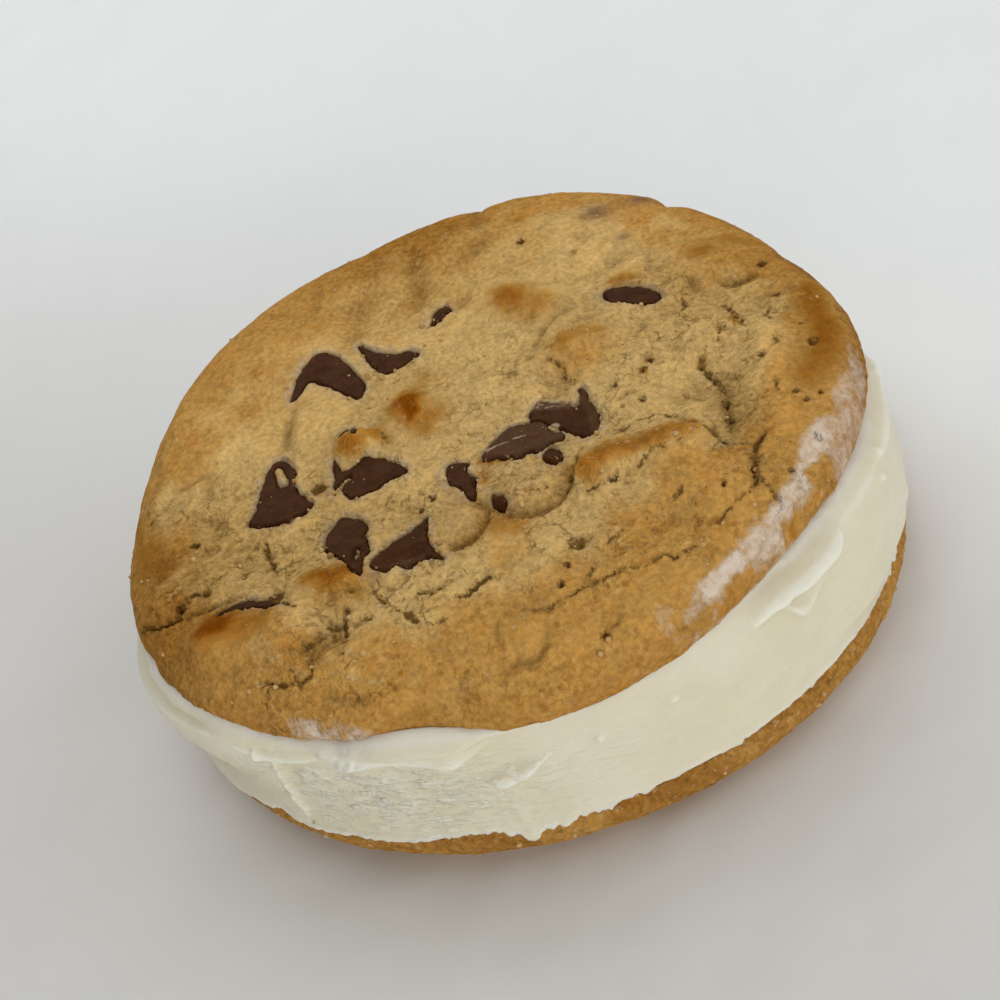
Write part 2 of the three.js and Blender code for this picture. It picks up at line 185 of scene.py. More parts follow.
def smooth_path(points, steps=PATH_STEPS, closed=False):
    """A smooth line through the points."""
    points = np.asarray(points, float)
    if closed:
        around = np.concatenate([points[-1:], points, points[:2]])
    else:
        around = np.concatenate([points[:1], points, points[-1:]])
    share = np.linspace(0, 1, steps, endpoint=False)[:, None]
    stretches = []
    for before, start, end, after in zip(around, around[1:], around[2:], around[3:]):
        lean, bend = end - before, 2 * before - 5 * start + 4 * end - after
        twist = 3 * (start - end) + after - before
        stretches.append(start + 0.5 * share * (lean + share * (bend + share * twist)))
    if not closed:
        stretches.append(points[-1:])
    return np.concatenate(stretches)


def along_path(flat, path):
    """How far each place is from a line through points, the share of its length where that is, and the side
    of the line that the place is on: 1 to the left and -1 to the right."""
    path = np.asarray(path, float)
    lengths = np.linalg.norm(np.diff(path, axis=0), axis=1)
    ends = np.concatenate([[0], np.cumsum(lengths)])
    nearest = np.full(len(flat), np.inf)
    share = np.zeros(len(flat))
    side = np.ones(len(flat))
    for start, end, length, before in zip(path, path[1:], lengths, ends):
        away = flat - start
        reach = np.clip(away @ (end - start) / max(length, LEAST_LENGTH) ** 2, 0, 1)
        distance = np.linalg.norm(away - reach[:, None] * (end - start), axis=1)
        nearer = distance < nearest
        left = (end - start)[0] * away[:, 1] > (end - start)[1] * away[:, 0]
        share = np.where(nearer, (before + reach * length) / ends[-1], share)
        side = np.where(nearer, np.where(left, 1, -1), side)
        nearest = np.minimum(nearest, distance)
    return nearest, share, side


def from_stretch(flat, start, end):
    """How far each place is from the straight stretch between two points, which may be the same point."""
    distance, *_ = along_path(flat, [start, (end[0], end[1] + TINY)])
    return distance


def depth_inside(flat, outline):
    """How far each place lies inside a closed outline. It is below 0 outside."""
    closed = np.concatenate([outline, outline[:1]])
    distance, *_ = along_path(flat, closed)
    x, y = flat.T
    inside = np.zeros(len(flat), bool)
    for (x0, y0), (x1, y1) in zip(closed, closed[1:]):
        if y0 != y1:
            crosses = (y0 > y) != (y1 > y)
            inside ^= crosses & (x < x0 + (y - y0) * (x1 - x0) / (y1 - y0))
    return np.where(inside, distance, -distance)


def close_to(flat, path, margin):
    """Which places lie within margin of the box round a path."""
    low, high = np.min(path, axis=0) - margin, np.max(path, axis=0) + margin
    return np.all((flat > low) & (flat < high), axis=1)


def open_between_ends(share):
    """0 at the ends of a line and 1 along most of it."""
    return np.sqrt(np.sin(math.pi * np.clip(share, 0, 1)))


def rim_radius(radius, lobes, angle):
    """A rim's radius at angles in radians."""
    return radius + sum(size * np.cos(waves * (angle - math.radians(at))) for waves, size, at in lobes)


def upper_rim(angle):
    return rim_radius(UPPER_RADIUS, UPPER_LOBES, angle)


def lower_rim(angle):
    """The lower cookie's rim as seen from the upper cookie's axis."""
    shift = LOWER_OFFSET[0] * np.cos(angle) + LOWER_OFFSET[1] * np.sin(angle)
    return rim_radius(LOWER_RADIUS, LOWER_LOBES, angle) + shift


def dome_height(inset):
    insets, heights = zip(*EDGE_PROFILE[2:], (DOME_START, COOKIE_THICKNESS))
    return np.interp(inset, insets, heights)


def disc_grid(count):
    """A square grid bent into a disc: how far out each point is, from 0 to 1, its angle, the grid's faces,
    and its border as a loop."""
    steps = np.linspace(-1, 1, count)
    a, b = (axis.ravel() for axis in np.meshgrid(steps, steps, indexing="ij"))
    wide = abs(a) >= abs(b)
    reach = np.where(wide, a, b)
    safe = np.where(reach == 0, 1, reach)
    turn = np.where(wide, math.pi / 4 * b / safe, math.pi / 2 - math.pi / 4 * a / safe)
    angle = np.where(reach < 0, turn + math.pi, turn)
    place = np.arange(count * count).reshape(count, count)
    corners = [place[:-1, :-1], place[1:, :-1], place[1:, 1:], place[:-1, 1:]]
    faces = np.stack(corners, axis=-1).reshape(-1, 4)
    border = np.concatenate([place[:-1, 0], place[-1, :-1], place[:0:-1, -1], place[0, :0:-1]])
    return SimpleNamespace(reach=abs(reach), angle=angle, faces=faces, border=border, count=count)


def capped(places, faces, loop, middle):
    """The places with a middle point added, and faces from it to a loop that closes the mesh."""
    fan = [(int(after), int(here), len(places)) for here, after in zip(loop, np.roll(loop, -1))]
    return np.concatenate([places, [middle]]), [*faces.tolist(), *fan]


def grid_blur(values, count, times):
    """The values over a grid that is count long, smoothed a number of times."""
    field = values.reshape(count, -1)
    for _ in range(times):
        wide = np.pad(field, 1, mode="edge")
        field = (wide[:-2, 1:-1] + wide[2:, 1:-1] + wide[1:-1, :-2] + wide[1:-1, 2:] + 2 * field) / 6
    return field.ravel()


def make_piece(name, places, faces, material, replaced=(), marks=None):
    """A piece of the sandwich from places in millimetres. marks holds numbers for its material, one to a
    place."""
    mesh = bpy.data.meshes.new(name)
    moved = (places + [*AXIS_PLACE, 0]) * MM
    mesh.from_pydata(moved.tolist(), [], faces)
    mesh.shade_smooth()
    for mark, values in (marks or {}).items():
        padded = np.zeros(len(places), np.float32)
        padded[: len(values)] = values
        mesh.attributes.new(mark, "FLOAT", "POINT").data.foreach_set("value", padded)
    mesh.materials.append(material)
    piece = bpy.data.objects.new(name, mesh)
    bpy.context.scene.collection.objects.link(piece)
    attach(piece, "root")
    if replaced:
        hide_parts(*replaced)
    return piece


# The upper cookie's face

# What stands up from the face or sinks into it: round mounds, and long ones between two points.
# x, y, x2, y2, reach, rise
UPPER_MOUNDS = [
    (-7.6, 4, -7, 3.4, 3.2, 1.9),
    (11.6, 18.1, 12.6, 17.1, 4.6, 1.4),
    (16.3, 5.2, 18.4, 5, 3.6, 1),
    (12, -19.4, 24, -20.4, 3.2, 1.7),
    (-1.8, -24.4, -1.8, -24.4, 3.4, 0.7),
    (-25, -21.2, -22, -22.4, 3.6, 1.7),
    (-40.5, -23.6, -31, -26.4, 4.2, 1.9),
    (-4, -41.2, -4, -41.4, 2.9, 1.1),
    (-15.6, 0.4, -14.8, 0.6, 2.8, 2.1),
    (-19, 8.2, -17.5, 5.5, 5.4, 1.2),
    (-28.3, -9.5, -26, -9.8, 2.2, 0.7),
    (-2, 36, 14, 36, 8, 1.2),
    (-24, 27, -18, 24, 6, 1.4),
    (-36, 12, -38, 18, 6, 0.9),
    (36.4, -16.2, 36, -21, 3.8, 1.2),
    (31.6, -13.5, 32.2, -19, 4.4, -1.4),
    (38, -12, 40, -8, 3, 0.9),
    (36, 10.5, 40.5, 10, 3.6, 1),
    (22, 13.5, 22, 13.5, 4, -1.1),
    (-4, 27, -4, 27, 5, -1),
    (-10, 30, -12.6, 22.6, 2.6, -1),
    (-33, -12, -29.6, -15.5, 3.6, -1),
    (-25.6, -29.6, -28.6, -31.6, 2.2, -0.9),
    (12, -2, 11, 0.6, 2.6, -0.9),
    (8, -1, 4, 2, 4, 0.7),
    (-14, -11, -12, -13, 2.6, -0.5),
    (-29, -36, -24, -36, 3.4, 0.8),
    (22, -26, 25, -29, 4, 0.7),
]

# Round swells of dough with a sharp crease at the foot on one side: the middle, radius, rise, how deep the
# crease is, and the angles between which it runs.
PILLOWS = [((-6.6, -19.9), 4.4, 1.2, 0.5, (-105, 45)), ((3.6, -18), 5.7, 1.4, 0.6, (-165, 5))]

# Cracks in the crust: width, depth, how much higher the left side stands, and the points that they run
# through.
UPPER_CRACKS = [
    (1.1, 1.2, 0.6, [(33.8, -23.8), (31.5, -25.9), (30.4, -28), (29.9, -29.9), (29.1, -32.4)]),
    (0.5, 0.9, -0.9, [(25.6, -18.9), (27.2, -20.4), (28.2, -23.2), (29.7, -23.8), (31.6, -24.8)]),
    (0.5, 0.9, 0.1, [(29.2, -32.1), (27.2, -32.5), (25, -33.9), (23.5, -34.8), (20.4, -35)]),
    (0.7, 0.8, 0, [(30, -30.6), (30.7, -32.1), (30.9, -34.3), (30.1, -35.6)]),
    (0.6, 0.7, 0.2, [(20.7, -36.5), (19.3, -37.6), (16.6, -37.8), (15.4, -36.9), (12.6, -37.9)]),
    (0.6, 0.6, 0.25, [(12.6, -37.6), (10.5, -37), (8.1, -37.5), (5.6, -37.4), (0.7, -38.6), (-1.8, -38)]),
    (0.4, 0.5, 0, [(21.3, -28), (20.4, -28.5), (19.3, -29.9)]),
    (0.35, 0.4, 0.2, [(20.8, -30), (20.8, -30.9), (22.1, -31.5)]),
    (0.5, 0.8, 0, [(23.8, -20.5), (22.8, -22.2)]),
    (0.5, 0.5, 0, [(17, -22.5), (18.5, -21.9), (19.6, -21.4), (21.4, -21.9)]),
    (0.5, 0.6, -0.4, [(16.6, -14.9), (18.5, -14.5), (20.6, -14.2), (23, -14.9), (25.6, -18.9)]),
    (0.4, 0.6, 0.8, [(11.8, -15.6), (10.6, -17.4), (9.1, -19.5), (8.7, -22)]),
    (0.5, 0.9, 0, [(14.5, -23), (12.8, -22.7)]),
    (0.35, 0.5, 0.1, [(12.8, -22.7), (12, -22.9), (10.9, -23.1), (9.9, -23.2)]),
    (0.45, 0.5, 0.6, [(12.9, 3.6), (14, 1.5), (13.8, -0.7), (14.5, -2.1), (15.3, -3.4)]),
    (0.8, 1, 0, [(37.8, 2.2), (37.4, 0.3), (37.6, -2), (38, -4.4)]),
    (0.7, 0.7, 0, [(32.6, 5.7), (32.3, 3.9), (31, 2), (31.7, 0.5)]),
    (0.6, 0.8, 0, [(35.6, -3), (33.9, -5.1)]),
    (0.6, 0.9, 0.3, [(32.4, -5.2), (31, -6.6), (30.6, -9), (31.8, -12.1)]),
    (0.35, 0.35, -1.1, [(31.9, -10), (31.6, -13), (30.6, -17), (29.8, -21)]),
    (0.4, 0.5, 0, [(42.6, -2), (41.3, -4.1), (41.6, -6)]),
    (0.35, 0.4, 0, [(43.5, -7.1), (45.1, -7.4), (46.3, -6.2)]),
    (0.6, 0.6, 0, [(43, 0.8), (44.4, -0.6)]),
    (0.5, 0.6, 0, [(41, -9.3), (40.1, -10.7), (39.3, -10.9)]),
    (0.4, 0.5, 0.4, [(37.8, -16.4), (37.2, -19)]),
    (0.7, 1, 0.3,
     [(-51, -12.8), (-46.6, -16.4), (-44.8, -16.7), (-43.6, -16), (-41.7, -14.1), (-39.8, -15)]),
    (0.4, 0.5, 0, [(-30.4, -22), (-28.6, -25.1)]),
    (0.5, 0.5, 0, [(-28.2, -27.8), (-24.6, -28.6)]),
    (0.45, 0.5, 0, [(-29.8, -30.4), (-27.3, -30), (-26.5, -29.3)]),
    (0.6, 0.8, 0.3,
     [(-29, -32.1), (-28.8, -34), (-29.9, -34.7), (-33.5, -33.8), (-35.4, -32.2), (-36.4, -32.1)]),
    (0.4, 0.5, 0, [(-34.8, -33.1), (-36.2, -35.4)]),
    (0.35, 0.4, 0, [(-31.9, -32), (-31.4, -33), (-32, -33.8)]),
    (0.6, 0.9, 0, [(-23.1, -26.3), (-23.8, -28.7), (-23.9, -30.9)]),
    (0.4, 0.5, 0, [(-25.3, -31.7), (-24.9, -33.6)]),
    (0.5, 0.6, 0, [(-22.2, -24.7), (-20.7, -25)]),
    (0.5, 0.5, 0, [(-20.4, -29.5), (-21.8, -29.3)]),
    (0.6, 0.9, 0, [(-19.2, -25.2), (-17.8, -28.3)]),
    (1, 1.1, 0, [(-18, -28.8), (-16.3, -30.6), (-14.9, -33.3)]),
    (0.6, 0.7, 0, [(-14, -28.6), (-12.8, -29), (-10.4, -29.3)]),
    (0.8, 1, 0.25, [(-10, -31.6), (-8.4, -31.8), (-6.9, -31.1), (-6, -30.4), (-4.8, -30.9)]),
    (0.35, 0.4, 0, [(-13.5, -34.6), (-11.2, -34.6)]),
    (0.6, 0.9, -0.4, [(-31.1, -9.2), (-31.3, -11.4), (-30.9, -13.4), (-30.5, -15.9)]),
    (0.4, 0.5, 0, [(-35.1, -15.1), (-34.7, -13.6), (-33.8, -13.5)]),
    (0.35, 0.4, 0, [(12.3, -30.8), (11.1, -31.6), (9.4, -32.3)]),
    (0.35, 0.4, 0, [(7.6, -34.3), (6.2, -36.2)]),
    (0.5, 0.7, 0, [(-11.7, -0.9), (-12.1, 1.4)]),
    (0.35, 0.5, 0, [(-0.4, -18.4), (2, -19.3), (5.1, -20.2), (8.4, -21.3)]),
]

# Soft folds in the crust: half width, depth, and the points that they run through.
UPPER_FOLDS = [
    (0.9, 0.4, [(31.8, -12), (30.8, -15.8), (30, -20.2), (29.6, -23.5)]),
    (0.7, 0.4, [(28.5, -10.8), (27.9, -14.2)]),
    (0.6, 0.5, [(19.6, 13.8), (16.6, 12.2), (13.6, 9.8), (10.3, 5.6)]),
    (0.5, 0.4, [(8.4, 3.2), (5.3, 4.5)]),
    (2, 1.2, [(0.6, 39), (0, 35), (-1, 29), (-1.8, 24.4)]),
    (1.6, 0.9, [(12.2, 46), (11.2, 41), (11.4, 36)]),
    (1.6, 0.9,
     [(15, 20.8), (18.7, 18.8), (23.4, 18.3), (27.7, 19.4), (30.8, 19), (31.3, 16.9), (32.1, 12.4)]),
    (1.1, 0.7, [(2.4, 21.8), (6.2, 22.5)]),
    (1.4, 0.7, [(11.8, 35.4), (9.6, 32.4), (6.2, 32)]),
    (1.3, 0.6, [(23.4, 28.6), (24.6, 24.6)]),
    (0.8, 0.7, [(34.8, 8.8), (34.9, 6.8), (36, 6.3)]),
    (0.9, 1, [(37.9, 6.2), (39.2, 5.1), (41, 4.8), (43.4, 5.2)]),
    (0.55, 0.7, [(-44, -17), (-39.5, -17.9), (-36.9, -17.9), (-33.8, -18.7)]),
    (0.9, 0.6, [(-43.6, 3.6), (-42.5, 6), (-39.1, 6.9), (-36.5, 6.3), (-36.9, 3), (-35, 0.8)]),
    (1.3, 0.9, [(-37.4, -0.8), (-36.5, -3.6), (-35, -3.4)]),
    (0.9, 0.8, [(-25.4, 5.4), (-24.8, 8.4), (-23.7, 10.9), (-22.4, 13.4)]),
    (0.5, 0.6, [(-6.3, -37.8), (-6.6, -40.7), (-6.2, -42.4)]),
    (0.7, 0.7, [(-0.3, -40.8), (-1.7, -43.6), (-3.5, -44.5), (-5.9, -44.2), (-8.4, -45.7)]),
    (0.9, 0.6, [(-29.2, -37), (-25.8, -39.7), (-23, -40)]),
    (0.7, 0.4, [(2.4, -46.5), (4.6, -46.1)]),
    (0.7, 0.5, [(-2, -46.4), (0.6, -46.7)]),
    (0.6, 0.5, [(5.3, -44.7), (6.6, -44), (7.8, -43.7)]),
]

# Where the top is baked darkest: two points that the spot lies between, its reach, and how dark it is.
BROWNED = [
    ((-7.3, 4.9), (-7.4, 3), 2.3, 1.15), ((-7, 3), (-5.9, 1.4), 3.4, 0.55),
    ((-6.2, 6), (-3.8, 10.6), 1.6, 0.3), ((10.8, 19), (11.6, 17.8), 3, 0.72),
    ((11.4, 18.2), (14.4, 15.2), 4, 0.45), ((15.2, 5.4), (15.6, 5), 1.8, 0.6),
    ((15, 5.4), (19.4, 5.2), 2.2, 0.42), ((38.7, 13.4), (37.6, 13.8), 2.2, 0.6),
    ((42.4, 14.4), (46, 12.6), 2.4, 0.5), ((26.4, 14.9), (27.6, 14.4), 1.9, 0.5),
    ((11.4, -19.6), (14.7, -19.2), 2.5, 0.68), ((14.7, -18.8), (21, -19.6), 2.5, 0.68),
    ((20.7, -19), (25, -20.4), 2.2, 0.55), ((25.3, -18.8), (25.3, -18.8), 0.55, 0.9),
    ((-0.6, -10.8), (2.4, -11), 1, 0.7), ((-1.4, -12.4), (-1, -14.4), 0.9, 0.5),
    ((-1.8, -23.2), (0.2, -24), 2.6, 0.46), ((-25.1, -20.8), (-21.8, -21.9), 2.5, 0.78),
    ((-24.4, -22.4), (-22, -23.6), 3.4, 0.48), ((-40.4, -21.8), (-38.2, -22.2), 2.7, 0.98),
    ((-40, -23.6), (-34.5, -23.8), 3, 0.6), ((-4.2, -40.9), (-3.8, -41.4), 2.8, 0.36),
    ((-16.8, 0.6), (-15.8, -0.2), 1.9, 0.72), ((-13.8, 0.9), (-12.6, 0.6), 1.9, 0.55),
    ((41.9, -17), (46.2, -12.4), 3.4, 0.6), ((46.8, -11), (48.4, -1), 3, 0.68),
    ((-46.5, -1.3), (-44.9, -7.4), 2.6, 0.52), ((-48.6, 6), (-47.6, -6), 2.6, 0.5),
    # The spots at (24.8, -3.5), (23.4, -5.3), (5.3, -44.7) and (39.1, -19.5) lie on holes, where they are
    # painted shade.
    ((24.8, -3.5), (24.8, -3.5), 0.62, 0.8), ((23.4, -5.3), (23.4, -5.3), 0.55, 0.75),
    ((5.3, -44.7), (5.3, -44.7), 0.6, 0.85), ((-18.9, -39.1), (-18.9, -39.1), 0.5, 0.7),
    ((39.1, -19.5), (39.3, -19.5), 0.45, 0.6), ((22.2, -34.9), (22.6, -34.7), 0.6, 0.6),
    ((30.9, -34), (30.8, -33.4), 0.6, 0.6), ((14.2, -37.2), (14.6, -37), 0.7, 0.5),
    ((37.5, -1.6), (37.6, -2.8), 0.6, 0.5), ((30.7, -7.6), (30.6, -8.6), 0.6, 0.5),
    ((31.2, -36.6), (31.8, -35.4), 1.1, 0.55),
]

# Where the crust is more golden than its place between the middle and the rim makes it: the middle, reach,
# and how much. Below 0 it is paler.
GOLDEN_SPOTS = [
    ((17, 2), 5.5, 0.6), ((24.5, -27), 5.5, 0.6), ((-20, 31), 12, 0.35), ((-33, 14), 10, 0.3),
    ((14, 36), 9, 0.35), ((38, 12), 8, 0.5), ((-6, 6), 4.5, 0.3), ((-1.5, -24), 4, 0.35),
    ((-23, -22), 4, 0.35), ((33, -14), 4.5, -0.6), ((28, -17), 4.5, -0.7), ((0, 40), 18, 0.4),
    ((-26, 30), 14, 0.35), ((-33, -15), 6, -0.4), ((-17, -31), 7, -0.5), ((5, -32), 6, -0.3),
    ((38.5, -5), 4.5, -0.5), ((-27, -30), 4, -0.4),
]

# Where the whole crust is a little darker than round it, partly its own tone and partly painted shade, as on
# the
# left side and on the pillows: the middle, reach, and how much.
DARKER_AND_SHADED_SPOTS = [
    ((-43, -8), 10, 0.28), ((-46, -20), 8, 0.22), ((-30, -28), 8, 0.12), ((32.4, -17), 5.5, 0.18),
    ((2, 40), 15, 0.36), ((-6.6, -19.9), 5, 0.26), ((3.6, -18), 6, 0.22), ((46, 4), 10, 0.16),
    ((48, -12), 6, 0.18), ((14, 6), 7, 0.06), ((-20, -12), 9, 0.12), ((33, 8), 9, 0.14),
    ((-30, -4), 9, 0.08), ((-18, 10), 8, 0.08),
]

# Where the crust is torn and crumbly: the middle, reach, and how much.
TORN_SPOTS = [
    ((-27, -29.5), 5.5, 1), ((-12, -29.5), 5.5, 0.6), ((31, -18), 4.5, 0.6), ((30.2, -29), 3, 0.8),
    ((19, -36.5), 4, 0.5), ((-32, -12.5), 3.5, 0.6), ((-34, -32.5), 4, 0.6), ((-43.5, -15.5), 4, 0.7),
    ((34, -2), 5, 0.4), ((-12, -9.5), 4, 0.5), ((-1, -13), 4, 0.6), ((6, -30), 6, 0.3),
]

# Where the crust is smooth: the middle, reach, and how much.
SMOOTH_SPOTS = [((-19, 8), 7.5, 1), ((-31, 16), 8, 0.8), ((-6.5, -19.9), 4, 0.6), ((3.6, -18), 5, 0.5)]

# Small holes in the crust: the middle and radius.
HOLES = [
    ((6.3, -30.5), 0.9), ((5.3, -44.7), 0.5), ((44.9, -11.5), 0.65), ((44.6, 6.7), 0.6),
    ((39.2, -19.5), 0.4), ((40, -21.2), 0.3), ((42.1, -20.3), 0.35), ((39.1, -26.8), 0.45),
    ((34, -30.7), 0.3), ((25.6, -30), 0.35), ((-43.8, -15.4), 0.7), ((-40.2, -5.4), 0.45),
    ((2.7, -35.8), 0.4), ((4.3, -33.2), 0.35), ((21.4, -10.5), 0.45), ((19, -6.4), 0.3),
    ((37.6, -11.9), 0.4), ((-31, -20.8), 1.1), ((-22.3, -3.9), 0.9), ((24.8, -3.5), 0.4),
    ((23.4, -5.3), 0.35), ((-8.6, -13.6), 0.5), ((-10.4, -15), 0.4), ((16, 30), 0.6),
]

# Buried chips that only stain the dough: the middle, reach, and how much.
STAINS = [
    ((28, 31.4), 2.4, 1), ((34.6, 31.4), 2, 1), ((29.6, 23.2), 1, 0.8), ((-22.3, -4.2), 1.1, 0.6),
    ((-18.6, -23.6), 1.2, 0.7),
]

# Dents in the upper rim: angle, half width in degrees, and depth.
RIM_DENTS = [
    (72, 2.6, 0.9), (38, 2.2, 1), (-162, 2, 0.5), (12, 5, 0.4), (98, 5, 0.4), (-113, 7, 1.5),
    (-128, 4, 0.3), (178, 20, 0.5), (52, 16, 0.3),
]

# Custard smeared on the upper cookie's rim: the points that a smear follows, its half width, and how white it
# is.
SMEARS = [
    ([(11.4, -44.2), (13.6, -44.9)], 1.5, 0.45),
    ([(14.6, -44.8), (16.6, -43.9), (17.6, -42.6)], 1, 0.6),
    ([(17.2, -43.2), (19.6, -42), (21.5, -40.9), (24.8, -39.2)], 1.1, 0.95),
    ([(24, -39.4), (27, -38), (30, -36.2), (32.6, -34.2)], 1.8, 0.8),
    ([(31.6, -34.6), (34.6, -31.6), (38.4, -27.6), (42, -24)], 1.6, 0.85),
    ([(38.4, -30.2), (41.4, -26.8), (44.4, -22), (47.2, -17)], 1.9, 0.6),
    ([(41, -28.2), (45.4, -23), (48.2, -16.8), (49.6, -11.6)], 1.3, 0.55),
    ([(6, -48.8), (10.4, -47.6)], 0.7, 0.4),
    ([(-34.4, -37.3), (-30.4, -40.2), (-25, -43)], 1.1, 0.75),
    ([(-16.6, -47.8), (-12, -48.7)], 0.6, 0.8),
]
# Dough that shows through a smear: two points that the spot lies between, and its half width.
BARE_SPOTS = [((36.6, -31.4), (38.6, -29.4), 0.8), ((30.6, -37.4), (32.6, -35.9), 1)]


PROFILE_STEPS = 12


def cookie_form(count, rim):
    """A cookie's domed face and edge before their relief, with the flat side at 0, as a grid of places with
    the way each one faces and how far in from the rim it is. Below the widest place that is less than 0."""
    profile = [(DOME_START, COOKIE_THICKNESS), *reversed(EDGE_PROFILE), (UNDERSIDE_EDGE, 0)]
    line = smooth_path(profile, PROFILE_STEPS)
    travelled = np.concatenate([[0], np.cumsum(np.linalg.norm(np.diff(line, axis=0), axis=1))])
    grid = disc_grid(count)
    radius = rim(grid.angle)
    flat_length = radius - DOME_START
    path = grid.reach * (flat_length + travelled[-1])
    past = np.maximum(path - flat_length, 0)
    inset = np.where(path < flat_length, radius - path, np.interp(past, travelled, line[:, 0]))
    height = np.interp(past, travelled, line[:, 1])
    out, rise = (np.gradient(line[:, axis] * sign, travelled) for axis, sign in ((0, -1), (1, 1)))
    out, rise = np.interp(past, travelled, out), np.interp(past, travelled, rise)
    cosine, sine = np.cos(grid.angle), np.sin(grid.angle)
    grid.places = np.column_stack([on_circle(radius - inset, grid.angle), height])
    grid.facing = np.stack([-rise * cosine, -rise * sine, out], axis=1)
    grid.inset = np.where(height > EDGE_PROFILE[2][1], inset, -inset)
    return grid


def mound_relief(flat, mounds):
    total = np.zeros(len(flat))
    for x, y, x2, y2, reach, rise in mounds:
        total += rise * soft_bump(from_stretch(flat, (x, y), (x2, y2)), reach)
    return total


# Where a pillow's crease fades out: degrees before its ends and beyond them. The creased side falls away from
# PILLOW_TOP of the radius, and CREASE_SOFTNESS is how far past the foot the crease shows.
CREASE_ENDS = (14, 26)
PILLOW_TOP = 0.35
CREASE_SOFTNESS = 0.3
SOFT_SIDE = SimpleNamespace(rise=0.9, reach=0.85)


def pillow_relief(flat, middle, radius, rise, sunk, crease):
    """A pillow's relief, and how far down its creased side each place is."""
    away = flat - middle
    distance = np.linalg.norm(away, axis=1)
    angle = np.degrees(np.arctan2(away[:, 1], away[:, 0]))
    half = (crease[1] - crease[0]) / 2
    sharp = 1 - fade(abs(turn_between(angle, crease[0] + half)), half - CREASE_ENDS[0], half + CREASE_ENDS[1])
    side = fade(distance / radius, PILLOW_TOP, 1)
    steep = np.where(distance < radius, mixed(side, rise, -sunk), 0)
    soft_top = rise * SOFT_SIDE.rise * soft_bump(distance, SOFT_SIDE.reach * radius)
    down = np.where(distance < radius, side, soft_bump(distance - radius, CREASE_SOFTNESS))
    return mixed(sharp, soft_top, steep), sharp * down


CRACK_DEPTH = 0.75
# How far beside a crack its mark fades out, how far in from its edge the mark is half, and how far out it is
# cut.
CRACK_SOFTNESS = 1.6
CRACK_LINE = 0.08
CRACK_SHOULDER = 0.2
STEP_REACH = 2.6
# How wide a crack is where its gaps close it most, on average, and where they open it most.
CRACK_OPENING = SimpleNamespace(least=0.1, usual=0.85, most=1.5)


def crack_relief(flat, moved, gaps, cracks):
    """The height that cracks add, and how far inside a crack each place is. That is 0.5 on a crack's edge."""
    steps = np.zeros(len(flat))
    depth = np.zeros(len(flat))
    inside = np.zeros(len(flat))
    for width, deep, step, points in cracks:
        path = smooth_path(points)
        near = close_to(flat, path, 3 * STEP_REACH)
        distance, share, side = along_path(flat[near] + moved[near], path)
        ends = open_between_ends(share)
        opening = np.clip(CRACK_OPENING.usual + gaps[near], CRACK_OPENING.least, CRACK_OPENING.most)
        half = 0.5 * width * ends * opening
        wall = 1 - fade(distance, 0.3 * half, 1.2 * half + CRACK_SHOULDER)
        cut = CRACK_DEPTH * deep * np.clip(2 * half / width, 0, 1) * wall
        depth[near] = np.maximum(depth[near], cut)
        steps[near] += 0.5 * step * side * ends * np.exp(-distance / STEP_REACH)
        inside[near] = np.maximum(inside[near], 0.5 + (half - CRACK_LINE - distance) / CRACK_SOFTNESS)
    return steps - depth, inside


def fold_relief(flat, folds):
    """How deep the soft folds are."""
    total = np.zeros(len(flat))
    for wide, deep, points in folds:
        path = smooth_path(points)
        near = close_to(flat, path, 3 * wide)
        distance, share, _ = along_path(flat[near], path)
        total[near] = np.maximum(total[near], deep * open_between_ends(share) * soft_bump(distance, wide))
    return total


def holes_relief(flat, holes):
    """How deep small holes are, from 0 to 1, and how far inside one each place is, as for cracks."""
    depth = np.zeros(len(flat))
    inside = np.zeros(len(flat))
    for middle, radius in holes:
        distance = np.linalg.norm(flat - middle, axis=1)
        depth = np.maximum(depth, 1 - fade(distance, 0.3 * radius, 1.2 * radius))
        inside = np.maximum(inside, 0.5 + (radius - distance) / CRACK_SOFTNESS)
    return depth, inside


PLATE_SIZE = 5.0
PLATE_SEAM = 0.16
PIT_RADII = (0.08, 0.2)


def crust_plates(places, seed):
    """Broken plates of crust, each raised or sunk as a whole, from -0.5 to 0.5."""
    warp = np.stack([rough(places, 0.6 * PLATE_SIZE, 3, seed + 5 * axis, 0.65) for axis in range(3)], axis=1)
    first, second, mark = scatter(places + 0.34 * PLATE_SIZE * warp, PLATE_SIZE, seed + 20)
    return (mark - 0.5) * fade(second - first, 0, PLATE_SEAM * PLATE_SIZE)


def random_pits(places, size, share, seed):
    """Small pits, in a share of the cells that are size wide, from 0 to 1."""
    first, _, mark = scatter(places, size, seed)
    radius = size * mixed(mark / share, *PIT_RADII)
    return np.where(mark < share, 1 - fade(first, 0.3 * radius, radius), 0)


# Chocolate chips in the upper face. Each outline is what shows of a chip, and lift is how far its middle
# stands above the dough. lean is how much it rises for each millimetre along x and y. over is dough that lies
# across it: the points of a strip, and its half width. folds are ridges in it: the same, and how high. The
# last list is where it is whitened, by a dusting of crumb and custard and on one chip by painted highlight:
# the same, and how much.
def chip(outline, lift=0.45, lean=(0, 0), over=(), folds=(), dust_and_highlight_strips=()):
    return SimpleNamespace(outline=outline, lift=lift, lean=lean, over=over, folds=folds, dust_and_highlight_strips=dust_and_highlight_strips)


